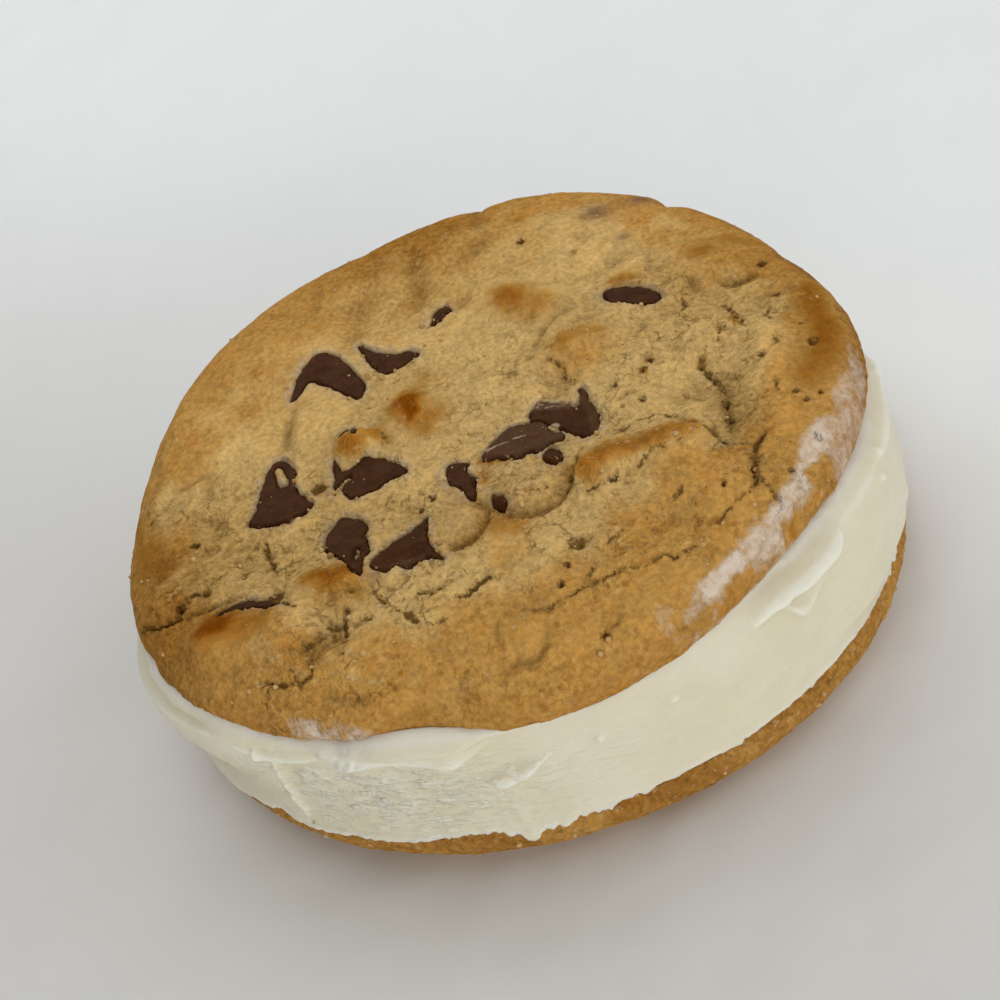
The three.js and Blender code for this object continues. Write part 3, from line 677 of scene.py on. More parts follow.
UPPER_CHIPS = [
    chip(
        [(-32.6, -5.7), (-31.1, -3.4), (-30.2, -0.4), (-28.7, 3), (-27.4, 4.6), (-25.7, 4), (-24.7, 1),
         (-25.3, -1), (-24.9, -3.6), (-23.5, -6.2), (-24.9, -7.9), (-27.4, -8.4), (-30.4, -7.3)],
        lift=0.15, lean=(0, -0.04), over=[([(-27, 2.5), (-26.6, -0.5)], 0.62)],
    ),
    chip(
        [(-19.3, 0.1), (-18.6, -2.5), (-16.8, -2.6), (-14.9, -2.2), (-12.9, -3.3), (-11.4, -4.9),
         (-10.3, -7.3), (-13.5, -7.8), (-15.9, -8.4), (-18.2, -8.2), (-19.3, -6.6), (-19.6, -5),
         (-20.6, -6.3), (-20, -3)],
        lift=0.05, over=[([(-20.6, -5.8), (-19.4, -4.8), (-18, -4.2)], 0.3)],
    ),
    chip([(-17.8, 2.6), (-16.8, 3.8), (-15.5, 3.2), (-14.8, 1.6), (-15.4, 0.9), (-16.1, 2.2)], lift=0),
    chip(
        [(-20.8, -10.7), (-19.2, -11.4), (-17.6, -13.4), (-18.1, -16.3), (-18.3, -18.9), (-19.3, -20.6),
         (-19.9, -23.2), (-21.1, -21.6), (-21.6, -19), (-22.4, -17.2), (-23.7, -15.3), (-23.1, -13)],
        lift=0.05,
        over=[([(-19.7, -17.6), (-20, -19.2)], 0.34), ([(-18, -15), (-18.3, -15.6)], 0.2)],
    ),
    chip(
        [(-9.8, -16.7), (-10.6, -19.8), (-10.4, -22.2), (-9.6, -25), (-11.6, -23.8), (-14, -24.5),
         (-15.3, -22.9), (-16.9, -23.4), (-18.7, -21.7), (-17.4, -20), (-14.8, -18.6), (-11.6, -17.6)],
        lift=0.1, lean=(0, -0.03),
        folds=[([(-17.2, -21.6), (-14, -20.9), (-10.6, -21.4)], 0.7, 0.45)],
        dust_and_highlight_strips=[([(-16, -23), (-12, -23.4)], 0.5, 0.25)],
    ),
    chip(
        [(-22.7, 14.6), (-22.3, 16.9), (-20.7, 19.5), (-18.4, 21.3), (-16.2, 22), (-14.8, 20.9),
         (-13.7, 18.6), (-12.7, 15.4), (-12.2, 12.6), (-13.4, 10.3), (-14.9, 11.6), (-16.6, 14.3),
         (-18.3, 16.4), (-19.7, 17.3), (-21.2, 15.7)],
        lift=0.1,
    ),
    chip(
        [(-11.5, 22.3), (-10.1, 20.3), (-8.4, 18.2), (-6.5, 16.9), (-4.3, 16.3), (-3.7, 14.7),
         (-5.9, 14.1), (-7.8, 13.4), (-9.4, 13.5), (-10.4, 16), (-11.2, 19.3)],
        lift=0.1,
    ),
    chip([(-0.9, 20.5), (0.4, 22.8), (2.1, 23.3), (2.7, 22.2), (0.9, 20.6)], lift=0),
    chip(
        [(-0.7, -10.1), (0.6, -8.7), (2.2, -7.4), (4.2, -6.7), (6.4, -7.1), (7.9, -7.4), (8.9, -8.7),
         (8.9, -9.9), (10.4, -11.1), (9.9, -12.4), (8, -12.3), (6.3, -13.5), (5.4, -12.6), (3.9, -13.2),
         (2.3, -11.9)],
        lift=0.4,
        folds=[([(0, -9.4), (2.9, -9.9), (6.1, -10.1), (8.5, -10.4)], 0.6, 0.45)],
        # On this chip the two narrow strips along the fold are painted highlight, and the wide one is partly
        # painted sheen.
        dust_and_highlight_strips=[([(0.6, -9.6), (5, -9.8), (9, -10.6)], 3, 0.32), ([(0.4, -9.6), (3.1, -9.7)], 0.22, 1),
                ([(4, -9.4), (5.6, -9.7)], 0.22, 0.9)],
    ),
    chip(
        [(6.8, -7), (7.8, -4.8), (9.2, -4), (10.8, -4.9), (12.3, -6), (13.2, -7.2), (14.2, -5.6),
         (14.6, -3.9), (15.3, -4.2), (15.2, -6.6), (15.7, -9.2), (15.2, -11.6), (14.5, -13.3),
         (12.6, -13.5), (11.3, -11.7), (10.2, -10.4), (9.2, -9), (8, -7.4)],
        lift=0.15, folds=[([(14.4, -5), (14, -9), (13.2, -12.6)], 0.7, 0.4)],
        dust_and_highlight_strips=[([(8, -4.5), (13.6, -6.6)], 1, 0.5), ([(14.8, -5), (15, -9), (14.4, -12.4)], 0.8, 0.25),
                ([(9, -9.2), (9.8, -9.5)], 0.55, 1.1)],
    ),
    chip([(6.7, -14), (8.1, -13), (9, -14.2), (8.9, -15.5), (7.9, -16.2), (6.7, -15.3)], lift=0.3),
    chip(
        [(-5.1, -8.5), (-3.6, -9.2), (-2.7, -9.9), (-3.1, -11), (-2.4, -13), (-2.8, -14.6), (-3.2, -16.7),
         (-4.1, -16.2), (-4.8, -13.6), (-5.8, -12.4), (-5.9, -10.4)],
        lift=0.1,
    ),
    chip([(-1.2, -17.6), (-0.2, -18.4), (0.2, -19.8), (-0.7, -20.6), (-1.4, -19.3)], lift=0.1),
    chip(
        [(23.4, 14.2), (25.7, 13.7), (28.2, 11.6), (30, 9.4), (30.2, 7.5), (28.9, 6.9), (26.6, 8.1),
         (24.2, 10.4), (23.3, 12.6)],
        lift=0,
    ),
    chip(
        [(-39.3, -20), (-37.7, -19.1), (-36.2, -18.9), (-34.5, -19.2), (-32.8, -20.3), (-31.5, -21.4),
         (-30.5, -22.8), (-32.4, -22), (-34.6, -20.8), (-36.4, -20.3)],
        lift=0,
    ),
]
# The lower cookie's chips: their middle, width, length, and where the tip points. Nothing of them stands out
# of the face that the sandwich lies on.
LOWER_CHIPS = [
    (-12, 12, 9, 10.2, 30), (10, 7, 8.2, 9.8, 150), (-4, -13, 9, 8.6, -70), (23, -9, 6.6, 9.6, 60),
    (-29, 3, 8.8, 8.4, 200), (14, 29, 7.4, 9.6, -20), (-17, -25, 6.8, 9.8, 110), (3, 39, 6.2, 8.4, 20),
]
PRESSED_DEPTH = 0.1
LOWER_CHIP_LIFT = 0.1
UPPER_CHIP_SEED = 500
LOWER_CHIP_SEED = 700


# The outline of a slumped chip, along it and across it, as shares of its length and width.
TEARDROP = [
    (0.5, 0), (0.2, 0.2), (-0.15, 0.42), (-0.42, 0.44), (-0.52, 0.1), (-0.5, -0.3), (-0.3, -0.48),
    (0.05, -0.32), (0.3, -0.14),
]


def teardrop(x, y, wide, tall, heading):
    """The outline of a slumped chip that lies on its side."""
    turn = math.radians(heading)
    outline = []
    for along, across in TEARDROP:
        east = x + along * tall * math.cos(turn) - across * wide * math.sin(turn)
        north = y + along * tall * math.sin(turn) + across * wide * math.cos(turn)
        outline.append((east, north))
    return outline


# How ragged a chip's edge is, and how far beyond its outline the chip's grid reaches.
CHIP_RAGGED = 0.26
CHIP_MARGIN = 1.1
OUTLINE_STEPS = 5


def chip_depth(flat, one, seed):
    """How far each place is inside what shows of a chip, with a ragged edge."""
    ragged = wandering(on_level(flat), CHIP_RAGGED, 1.5, seed, apart=20)
    depth = depth_inside(flat + ragged, smooth_path(one.outline, OUTLINE_STEPS, closed=True))
    for strip, half_width in one.over:
        distance, *_ = along_path(flat + ragged, strip)
        depth = np.minimum(depth, distance - half_width)
    return depth


SOCKET_DEPTH = 1.5
SOCKET_SLOPE = 0.36
BESIDE_REACH = 0.9


def socket_relief(flat, chips, seed):
    """How deep the chips' sockets are at each place, and how close it is to a chip's edge."""
    cut = np.zeros(len(flat))
    beside = np.zeros(len(flat))
    for index, one in enumerate(chips):
        near = close_to(flat, one.outline, 4)
        depth = chip_depth(flat[near], one, seed + index)
        cut[near] = np.maximum(cut[near], SOCKET_DEPTH * fade(depth, -SOCKET_SLOPE, SOCKET_SLOPE))
        beside[near] = np.maximum(beside[near], soft_bump(np.minimum(depth, 0), BESIDE_REACH))
    return cut, beside


UNEVEN_HEIGHT = 0.34


def upper_plain(flat, inset):
    """What the upper face's mounds and pillows add to its dome, before crumb and cracks."""
    spread = fade(inset, 1, 6)
    swell = mound_relief(flat, UPPER_MOUNDS)
    swell += sum(pillow_relief(flat, *pillow)[0] for pillow in PILLOWS)
    swell += UNEVEN_HEIGHT * rough(on_level(flat), 9, 2, 11)
    return spread * swell


def spots_map(flat, spots):
    """Round spots added up: the middle, reach and strength of each."""
    total = np.zeros(len(flat))
    for middle, reach, much in spots:
        total += much * soft_bump(np.linalg.norm(flat - middle, axis=1), reach)
    return total


def stretched(low, high, angle, at, half):
    """A number that is high near the angle at and low elsewhere."""
    return low + (high - low) * soft_bump(turn_between(np.degrees(angle), at), half)


# The angle and half width, in degrees, of the side of the upper face where its golden rim is widest, and of
# those where its brown edge is widest and darkest.
GOLDEN_SIDE = (-75, 50)
BROWN_SIDE = (20, 42)
BROWN_EDGE_SIDE = (15, 60)
# The far side of the face is smoother: between these two lines its crumb falls to this share.
FAR_LINES = (2, 26)
FAR_SHARE = 0.5
# How far a crack wanders from its line.
CRACK_WANDERING = 0.46
# How high the parts of the crumb stand, and how deep pits and holes are.
FINE_CRUMB, BROAD_CRUMB, PLATES, LUMPS = 0.14, 0.26, 0.5, 0.34
PIT_DEPTH, HOLE_DEPTH = 0.3, 0.9
# How far dough rises round a chip, how thick a smear of custard is, and how deep a crack is that gets its
# darkest painted shade.
DOUGH_LIP = 0.26
SMEAR_THICKNESS = 0.08
FULL_DEPTH = 1.3


def upper_golden(form, patch):
    """How golden the upper crust is, from 0 in its middle to 1 at the rim."""
    low = stretched(4, 11, form.angle, *GOLDEN_SIDE)
    high = stretched(13, 24, form.angle, *GOLDEN_SIDE)
    golden = 1 - fade(form.inset + 5 * patch, low, high)
    return np.clip(golden + spots_map(form.places[:, :2], GOLDEN_SPOTS), 0, 1)


def on_pillows(flat):
    """How close each place is to the top of a pillow."""
    tops = [((x, y), 0.9 * radius, 1) for (x, y), radius, *_ in PILLOWS]
    return spots_map(flat, tops)


def upper_crumb(places, coarse, torn, pillows):
    """The height of the upper crust's crumb."""
    crumb = FINE_CRUMB * rough(places, 1.7, 3, 101, 0.65) + BROAD_CRUMB * rough(places, 5.2, 3, 111, 0.55)
    crumb += PLATES * crust_plates(places, 131)
    lumps = LUMPS * torn * rough(places, 1.9, 3, 116, 0.6)
    return (crumb + lumps) * coarse * (1 - 0.5 * np.clip(pillows, 0, 1))


def shaded(relief, count, times, depth):
    """How much lower each place of a grid lies than what lies round it, from -1 to 1. The material paints
    shade from it.
    """
    return np.clip((grid_blur(relief, count, times) - relief) / depth, -1, 1)


# How many times the relief is smoothed to find narrow hollows and broad ones, and how deep a full one is. The
# material paints shade from both: darker in narrow hollows and over broadly sunken ground.
NARROW_BLUR, BROAD_BLUR = 10, 70
UPPER_HOLLOW, LOWER_HOLLOW, FULL_SUNKEN = 0.36, 0.25, 0.8


def upper_relief(form):
    """How far the upper cookie's surface stands out of its plain form, and what its material is told."""
    places, inset = form.places, form.inset
    flat = places[:, :2]
    level = on_level(flat)
    patch = rough(places, 7, 3, 31)
    golden = upper_golden(form, patch)
    moved = wandering(level, CRACK_WANDERING, 2.2, 51)
    gaps = 1.3 * rough(level, 2.0, 3, 61, 0.7)
    cracks, in_crack = crack_relief(flat, moved, gaps, UPPER_CRACKS)
    holes, in_hole = holes_relief(flat + 0.5 * moved, HOLES)
    inside = np.maximum(in_crack, in_hole)
    torn = np.clip(spots_map(flat, TORN_SPOTS) + 0.7 * fade(inside, 0.05, 0.45) * (1 - golden), 0, 1)
    coarse = 0.55 + 0.35 * (1 - golden) + 0.4 * patch - 0.5 * spots_map(flat, SMOOTH_SPOTS) + 0.6 * torn
    coarse = np.clip(coarse, 0.2, 1.4) * (1 - FAR_SHARE * fade(flat[:, 1], *FAR_LINES))
    pits = random_pits(places, 3.1, 0.3, 91) * fade(patch, -0.5, 0.4) * coarse
    sockets, beside = socket_relief(flat, UPPER_CHIPS, UPPER_CHIP_SEED)
    # How far down each pillow's creased side a place is. The material paints it darker there, as shade.
    creases = sum(pillow_relief(flat, *pillow)[1] for pillow in PILLOWS)
    pillows = on_pillows(flat)
    film = smear_map(flat, places)
    near_chip = beside * fade(inset, 0, 1)
    degrees = np.degrees(form.angle)
    dents = sum(deep * soft_bump(turn_between(degrees, at), half) for at, half, deep in RIM_DENTS)
    relief = upper_plain(flat, inset) + upper_crumb(places, coarse, torn, pillows)
    relief -= fold_relief(flat, UPPER_FOLDS) * fade(inset, 0, 3)
    broad = relief.copy()
    relief += cracks * fade(inset, -0.5, 2)
    relief -= PIT_DEPTH * pits + HOLE_DEPTH * holes + dents * (1 - fade(inset, 1.5, 6))
    relief += DOUGH_LIP * near_chip * (1 + rough(level, 1.1, 2, 121)) + SMEAR_THICKNESS * film
    relief -= sockets
    brown_width = stretched(2.2, 6.5, form.angle, *BROWN_SIDE)
    brown_much = stretched(0.5, 1, form.angle, *BROWN_EDGE_SIDE)
    marks = {
        "golden": golden,
        "browned": browned_map(flat, level),
        "rim_brown": (1 - fade(inset + 0.9 * patch, -1.5, brown_width)) * brown_much,
        "crack": np.clip(inside, 0, 1),
        # How deep cracks and holes are, which the material paints as darker shade.
        "deep": np.clip(-cracks / FULL_DEPTH + holes, 0, 1),
        "dusty": np.clip(near_chip + 0.45 * np.clip(pillows, 0, 1), 0, 1),
        "film": film,
        "stain": spots_map(flat, STAINS),
        "darker_tone_and_shade": spots_map(flat, DARKER_AND_SHADED_SPOTS) + 0.14 * np.sqrt(creases),
        "rough_dough": coarse,
        "relief_shading": shaded(relief, form.count, NARROW_BLUR, UPPER_HOLLOW),
        "sunken_shade": shaded(broad, form.count, BROAD_BLUR, FULL_SUNKEN),
    }
    return relief, marks


def browned_map(flat, level):
    """How dark the top is baked."""
    moved = flat + wandering(level, 0.9, 3.2, 141)
    total = np.zeros(len(flat))
    for start, end, reach, dark in BROWNED:
        total = np.maximum(total, dark * soft_bump(from_stretch(moved, start, end), reach))
    return total


def smear_map(flat, places):
    """How white the custard on the rim makes each place."""
    moved = flat + wandering(places, 0.6, 3.0, 151)
    total = np.zeros(len(flat))
    for points, half_width, white in SMEARS:
        distance, share, _ = along_path(moved, smooth_path(points))
        ends = np.clip(0.35 + open_between_ends(share), 0, 1)
        total = np.maximum(total, white * ends * (1 - fade(distance / half_width, 0.3, 1.25)))
    for start, end, half_width in BARE_SPOTS:
        distance, *_ = along_path(moved, [start, end])
        total *= fade(distance / half_width, 0.5, 1.3)
    return total


def upper_cookie(material):
    form = cookie_form(UPPER_GRID, upper_rim)
    relief, marks = upper_relief(form)
    places = form.places + form.facing * relief[:, None]
    places[:, 2] = np.maximum(places[:, 2], 0) + UPPER_FLAT
    closed, faces = capped(places, form.faces, form.border, (0, 0, UPPER_FLAT))
    make_piece("dough_upper", closed, faces, material, ["cookie_upper"], marks)
    return SimpleNamespace(places=places, facing=form.facing, marks=marks, inset=form.inset)


# The lower cookie, which lies with its dome down

LOWER_MOUNDS = [
    (34, 12, 34, 12, 6, -0.9), (-30, 22, -30, 22, 7, -0.8), (-24, -30, -24, -30, 6, -1),
    (18, -33, 18, -33, 6, -0.7),
]
LOWER_CRACKS = [
    (1.3, 1.4, 0.3, [(-20, 32), (-12, 27), (-4, 29), (5, 26), (13, 30)]),
    (1, 1.2, 0, [(28, -14), (33, -6), (31, 3), (36, 11)]),
    (1.2, 1.3, -0.3, [(-38, -6), (-33, -13), (-35, -21), (-29, -28)]),
    (1, 1.1, 0.2, [(-6, -34), (1, -30), (8, -33), (14, -29)]),
    (0.6, 0.7, 0, [(20, 20), (24, 16), (29, 17)]),
    (0.6, 0.7, 0, [(-24, 8), (-28, 12), (-27, 17), (-31, 20)]),
    (0.5, 0.6, 0, [(-12, -38), (-16, -35), (-18, -38)]),
]


LOWER_WANDERING = 0.42
LOWER_COARSE = 0.8
# The angle and half width, in degrees, of the side of the lower rim that is darker, and how dark the rim is
# elsewhere and there.
DARK_SIDE = (-95, 34)
DARK_SHARES = (0.44, 0.95)
LOWER_CRUMB, LOWER_BROAD_CRUMB, LOWER_LUMPS, LOWER_PIT_DEPTH = 0.14, 0.16, 0.2, 0.4


def lower_relief(form):
    """How far the lower cookie's surface stands out of its plain form, and what its material is told."""
    places, inset = form.places, form.inset
    flat = places[:, :2]
    level = on_level(flat)
    reach = np.linalg.norm(flat, axis=1)
    patch = rough(places, 7, 3, 231)
    moved = wandering(level, LOWER_WANDERING, 2.2, 251)
    gaps = 0.9 * rough(level, 2.0, 2, 261)
    cracks, inside = crack_relief(flat, moved, gaps, LOWER_CRACKS)
    torn = fade(inside, 0.05, 0.45)
    pits = random_pits(places, 2.7, 0.32, 291)
    sockets, beside = socket_relief(flat, lower_chip_forms(), LOWER_CHIP_SEED)
    crumb = LOWER_CRUMB * rough(places, 1.7, 3, 201, 0.65) + LOWER_BROAD_CRUMB * rough(places, 4.5, 2, 211)
    lumps = LOWER_LUMPS * torn * rough(places, 1.9, 3, 216, 0.6)
    relief = fade(reach, REST_SPOT_RADIUS, SPOT_EDGE) * mound_relief(flat, LOWER_MOUNDS)
    relief += crumb + lumps + cracks - LOWER_PIT_DEPTH * pits - sockets
    rim_brown = 1 - fade(inset + 0.9 * patch, -1.5, 3.5)
    nothing = np.zeros(len(flat))
    marks = {
        "golden": 1 - fade(inset + 5 * patch, 6, 20),
        "browned": 0.5 * fade(rough(level, 9, 3, 241), 0.25, 0.9),
        "rim_brown": rim_brown * stretched(*DARK_SHARES, form.angle, *DARK_SIDE),
        "crack": np.clip(inside, 0, 1),
        "deep": np.clip(-cracks / FULL_DEPTH, 0, 1),
        "dusty": 0.6 * beside,
        "film": nothing,
        "stain": nothing,
        "darker_tone_and_shade": nothing,
        "rough_dough": np.full(len(flat), LOWER_COARSE),
        "relief_shading": shaded(relief, form.count, NARROW_BLUR, LOWER_HOLLOW),
        "sunken_shade": shaded(relief + sockets, form.count, BROAD_BLUR, FULL_SUNKEN),
    }
    return relief, marks


def turned_over(places):
    """The lower cookie's places from its own flat side to those in the sandwich, dome down."""
    return places * (1, 1, -1) + (0, 0, COOKIE_THICKNESS)


def lower_chip_forms():
    return [chip(teardrop(*one), LOWER_CHIP_LIFT) for one in LOWER_CHIPS]


def lower_cookie(material):
    form = cookie_form(LOWER_GRID, lower_rim)
    relief, marks = lower_relief(form)
    places = form.places + form.facing * relief[:, None]
    places[:, 2] = np.clip(places[:, 2], 0, COOKIE_THICKNESS)
    closed, faces = capped(turned_over(places), form.faces, form.border, (0, 0, COOKIE_THICKNESS))
    faces = [face[::-1] for face in faces]
    make_piece("dough_lower", closed, faces, material, ["cookie_lower"], marks)
    facing = form.facing * (1, 1, -1)
    return SimpleNamespace(places=turned_over(places), facing=facing, marks=marks, inset=form.inset)


# Chips

# How wide a chip's rounded shoulder is, how far its edge is sunk, and how far down its body ends.
CHIP_SHOULDER = 0.45
CHIP_SUNK = 0.45
CHIP_UNDERSIDE = 1.9
# Outside what shows, a chip falls away this steeply, down to a little below its socket.
CHIP_FALL = 2.5
SOCKET_MARGIN = 0.4
CHIP_SWELL, CHIP_WAVES, CHIP_GRAIN = 0.1, 0.12, 0.03
# The hull that a chip's grid fills is found at this many angles, from the points of its outline whose turn
# from that angle has at least this cosine.
HULL_ANGLES = 73
HULL_COSINE = 0.9
SURFACE_SEED_STEP = 300
# The highest place of a pressed chip over the lower cookie's flat side.
PRESSED_LEVEL = 8.45


def chip_surface(flat, depth, one, seed):
    """How high a chip's top lies above the plain dough."""
    level = on_level(flat)
    tilt = (flat - np.mean(one.outline, axis=0)) @ np.array(one.lean)
    inward = np.clip(depth / CHIP_SHOULDER, 0, 1)
    shoulder = np.sqrt(inward * (2 - inward))
    top = (one.lift + CHIP_SUNK + tilt) * shoulder - CHIP_SUNK + CHIP_SWELL * fade(depth, 0.3, 2.5)
    top += CHIP_WAVES * rough(level, 2.6, 2, seed) * shoulder + CHIP_GRAIN * rough(level, 0.9, 2, seed + 5)
    for points, wide, high in one.folds:
        distance, share, _ = along_path(flat, smooth_path(points))
        top += high * open_between_ends(share) * np.exp(-distance / wide) * shoulder
    fallen = np.maximum(CHIP_FALL * depth - CHIP_SUNK, -SOCKET_DEPTH - SOCKET_MARGIN)
    return np.where(depth < 0, fallen, top)


def hull_radius(one, middle, angle):
    """How far a chip's grid reaches from its middle at each angle."""
    away = smooth_path(one.outline, OUTLINE_STEPS, closed=True) - middle
    turn, length = np.arctan2(away[:, 1], away[:, 0]), np.linalg.norm(away, axis=1)
    around = np.linspace(-math.pi, math.pi, HULL_ANGLES)
    near = np.cos(turn[None, :] - around[:, None])
    hull = np.max(np.where(near > HULL_COSINE, length[None, :] * near, 0), axis=1) + CHIP_MARGIN
    return np.interp((angle + math.pi) % (2 * math.pi) - math.pi, around, hull)


def dust_and_highlight_map(flat, one):
    """How much a dusting of crumb, custard and, on one chip, painted highlight whiten each place of a chip.
    """
    dust_and_highlight = np.zeros(len(flat))
    for strip, half_width, much in one.dust_and_highlight_strips:
        distance, *_ = along_path(flat, strip)
        dust_and_highlight = np.maximum(dust_and_highlight, much * (1 - fade(distance, 0.5 * half_width, 1.4 * half_width)))
    return dust_and_highlight


def chip_form(one, seed, plain_height):
    """One chip over its cookie's flat side: a dome over its outline that reaches a little way under the
    dough all round."""
    grid = disc_grid(CHIP_GRID)
    middle = np.mean(one.outline, axis=0)
    flat = middle + on_circle(grid.reach * hull_radius(one, middle, grid.angle), grid.angle)
    depth = chip_depth(flat, one, seed)
    height = plain_height(flat) + chip_surface(flat, depth, one, seed + SURFACE_SEED_STEP)
    bottom = float(plain_height(middle[None, :])[0]) - CHIP_UNDERSIDE
    places, faces = capped(np.column_stack([flat, height]), grid.faces, grid.border, (*middle, bottom))
    marks = {"shown": np.append(fade(depth, 0, 0.5), 0), "dust_and_highlight": np.append(dust_and_highlight_map(flat, one), 0)}
    return places, faces, marks


def inset_from(rim, flat):
    return rim(np.arctan2(flat[:, 1], flat[:, 0])) - np.linalg.norm(flat, axis=1)


def upper_height(flat):
    """The upper cookie's height over its flat side, under the crumb and the cracks."""
    inset = inset_from(upper_rim, flat)
    return dome_height(inset) + upper_plain(flat, inset)


def lower_height(flat):
    """The height of the lower cookie's mounds over its flat side."""
    inset = inset_from(lower_rim, flat)
    spread = fade(np.linalg.norm(flat, axis=1), REST_SPOT_RADIUS, SPOT_EDGE)
    return dome_height(inset) + spread * mound_relief(flat, LOWER_MOUNDS) - PRESSED_DEPTH


def chip_piece(side, index, places, faces, marks, material):
    """A chip's piece, which takes the place of the solid with its number."""
    number = f"{side}_{index + 1:02d}"
    make_piece(f"chocolate_{number}", places, faces, material, [f"chip_{number}"], marks)


def all_chips(material):
    """The chips of both cookies. Those of the upper one are given back for their crumbs."""
    upper_chips = []
    for index, one in enumerate(UPPER_CHIPS):
        places, faces, marks = chip_form(one, UPPER_CHIP_SEED + index, upper_height)
        places += (0, 0, UPPER_FLAT)
        chip_piece("upper", index, places, faces, marks, material)
        upper_chips.append(SimpleNamespace(places=places, shown=marks["shown"]))
    for index, one in enumerate(lower_chip_forms()):
        places, faces, marks = chip_form(one, LOWER_CHIP_SEED + index, lower_height)
        places[:, 2] = np.minimum(places[:, 2], PRESSED_LEVEL)
        faces = [face[::-1] for face in faces]
        chip_piece("lower", index, turned_over(places), faces, marks, material)
    return upper_chips


# The custard

CUSTARD_INSET_BELOW = 1.0
CUSTARD_INSET_ABOVE = 0.9
# Where the custard was squeezed past the rims: the middle and half width in degrees, the middle and half
# height as shares of its thickness, and how far it stands out.
CUSTARD_SWELLS = [
    (-32, 25, 0.6, 0.62, 3.6),
    (-161, 14, 0.8, 0.55, 3.4),
    (-146, 12, 0.8, 0.5, 0.8),
    (100, 45, 0.5, 0.5, 1.4),
]
# Lips that hang over the wall: how far each stands out, how far up it reaches, how much it droops, and the
# underside's line as angle and height.
CUSTARD_LIPS = [
    (2.5, 5, 0.7, [(-131, 16.6), (-126, 16), (-119, 15.2), (-115.3, 14.7), (-110.8, 13.8), (-106, 14.9),
                   (-102.5, 16.2)]),
    (1.6, 5, 0.5, [(-149, 17), (-144.5, 15.9), (-140.1, 14.6), (-135.4, 14), (-130, 14.8), (-124, 15.4),
                   (-117, 16.2)]),
    (1.1, 1.6, 0.4, [(-59.5, 13.8), (-56.9, 12.8), (-55.4, 10.9), (-53.5, 10.3), (-51, 11.4), (-46.9, 12.6),
                     (-42, 13.6)]),
    (0.7, 1.6, 0.3, [(-30, 14.6), (-22, 13.8), (-14, 14.2), (-6, 14.8)]),
]
# Ridges and drips on the wall: the points of each as angle and height, its half width, and how far it stands
# out.
CUSTARD_RIDGES = [
    ([(-138.8, 17), (-138.9, 13.8), (-139.1, 10.4), (-139.3, 5.2), (-138.3, 0), (-137.5, -2.6)], 0.42, 0.75),
    ([(-139.7, 14.6), (-140.8, 9.2), (-141.3, 4)], 0.6, -0.55),
    ([(-147, 17.6), (-144, 17.5), (-140.4, 16.4), (-136.5, 15.3)], 0.8, 0.75),
    ([(-106.4, 9.5), (-104, 9.5), (-101.6, 10), (-98.4, 11.3)], 0.85, 1.5),
    ([(-106, 9.2), (-103.4, 9.2)], 0.7, 0.6),
    ([(-135.6, 9.4), (-133.8, 9)], 0.45, 0.4),
    ([(-133, 10.2), (-129.6, 9.8)], 0.4, 0.4),
    ([(-124, 9.9), (-121.6, 10.1)], 0.45, 0.45),
    ([(-117.8, 9.6), (-112, 10.2)], 0.4, 0.4),
    ([(-113.4, 12), (-109.6, 12.2)], 0.4, 0.35),
    ([(-131, 7.2), (-126, 6.6), (-120, 7.4)], 0.4, -0.25),
    ([(-124, 12.2), (-118, 11.6), (-113, 11)], 0.4, -0.25),
    ([(-61.6, 14.2), (-58.4, 14.9), (-55.7, 15.1), (-52.9, 14.8), (-49.8, 14.8), (-43.6, 15)], 0.95, 2.3),
    ([(-57.5, 16.6), (-52, 16)], 0.9, -0.7),
    ([(-90.2, 11.7), (-88.8, 11.5)], 0.7, 0.6),
    ([(-78.6, 12.2), (-76.8, 11.9)], 0.7, 0.6),
    ([(-28.6, 15.9), (-27.4, 15.7)], 0.7, 0.6),
    ([(-31.6, 13.8), (-30.4, 13.4)], 0.6, 0.5),
    ([(-104.4, 3), (-103, -1), (-102.6, -2.6)], 0.9, 0.45),
    ([(-70, 4), (-64, 5), (-58, 5.2)], 1.3, 0.2),
    ([(-86, 5.5), (-80, 6.5), (-74, 6.2)], 1.4, 0.2),
    ([(-33, 9), (-28, 7), (-24, 4)], 1.2, 0.4),
    ([(-12.6, 16.2), (-11.8, 15.6)], 0.6, 0.6),
    ([(-9.4, 15), (-8.8, 14.4)], 0.6, 0.6),
]
# The custard's lower edge, which laps over the lower cookie's rim: angle and height.
CUSTARD_FOOT = [
    (-180, -1.6), (-165, -2.2), (-158, -3), (-154, -2.9), (-149, -1.6), (-143, -1), (-137, -1.7),
    (-132, -1.2), (-121, -1), (-111, -0.4), (-106.5, -0.9), (-105, -1.1), (-104.2, -2.2), (-102.8, -2.3),
    (-101.8, -1.1), (-99, -1), (-95, -0.7), (-90, -0.4), (-83, -0.1), (-77, 0), (-60, 0), (-43, 0),
    (-37, -0.2), (-15, -0.8), (10, -1.4), (40, -0.6), (75, -1.2), (110, -0.6), (140, -1.4), (160, -1),
]
# How far its upper edge laps over the upper cookie's rim: angle and height.
CUSTARD_HEAD = [
    (-180, 0.2), (-170, 0.4), (-163, 1.2), (-156, 1.9), (-149, 2.4), (-143, 2.3), (-138, 1.8),
    (-133, 1.2), (-127, 1.2), (-122, 2.1), (-116, 2.8), (-110, 2.6), (-104, 1.7), (-97, 0.2), (-70, 0),
    (-30, 0), (-20, 0.5), (-10, 0.8), (0, 0.4), (30, 0), (90, 0.4), (120, 0), (180, 0.2),
]
# Millimetres along the wall to a degree.
WALL_SCALE = math.radians(1) * UPPER_RADIUS
FILM_THICKNESS = 0.45
CUSTARD_REACH_UNDER = 5.0
# Just inside the flat sides, where the custard ends under the cookies.
CUSTARD_LOW = 0.1
CUSTARD_HIGH = CUSTARD_THICKNESS - 0.05
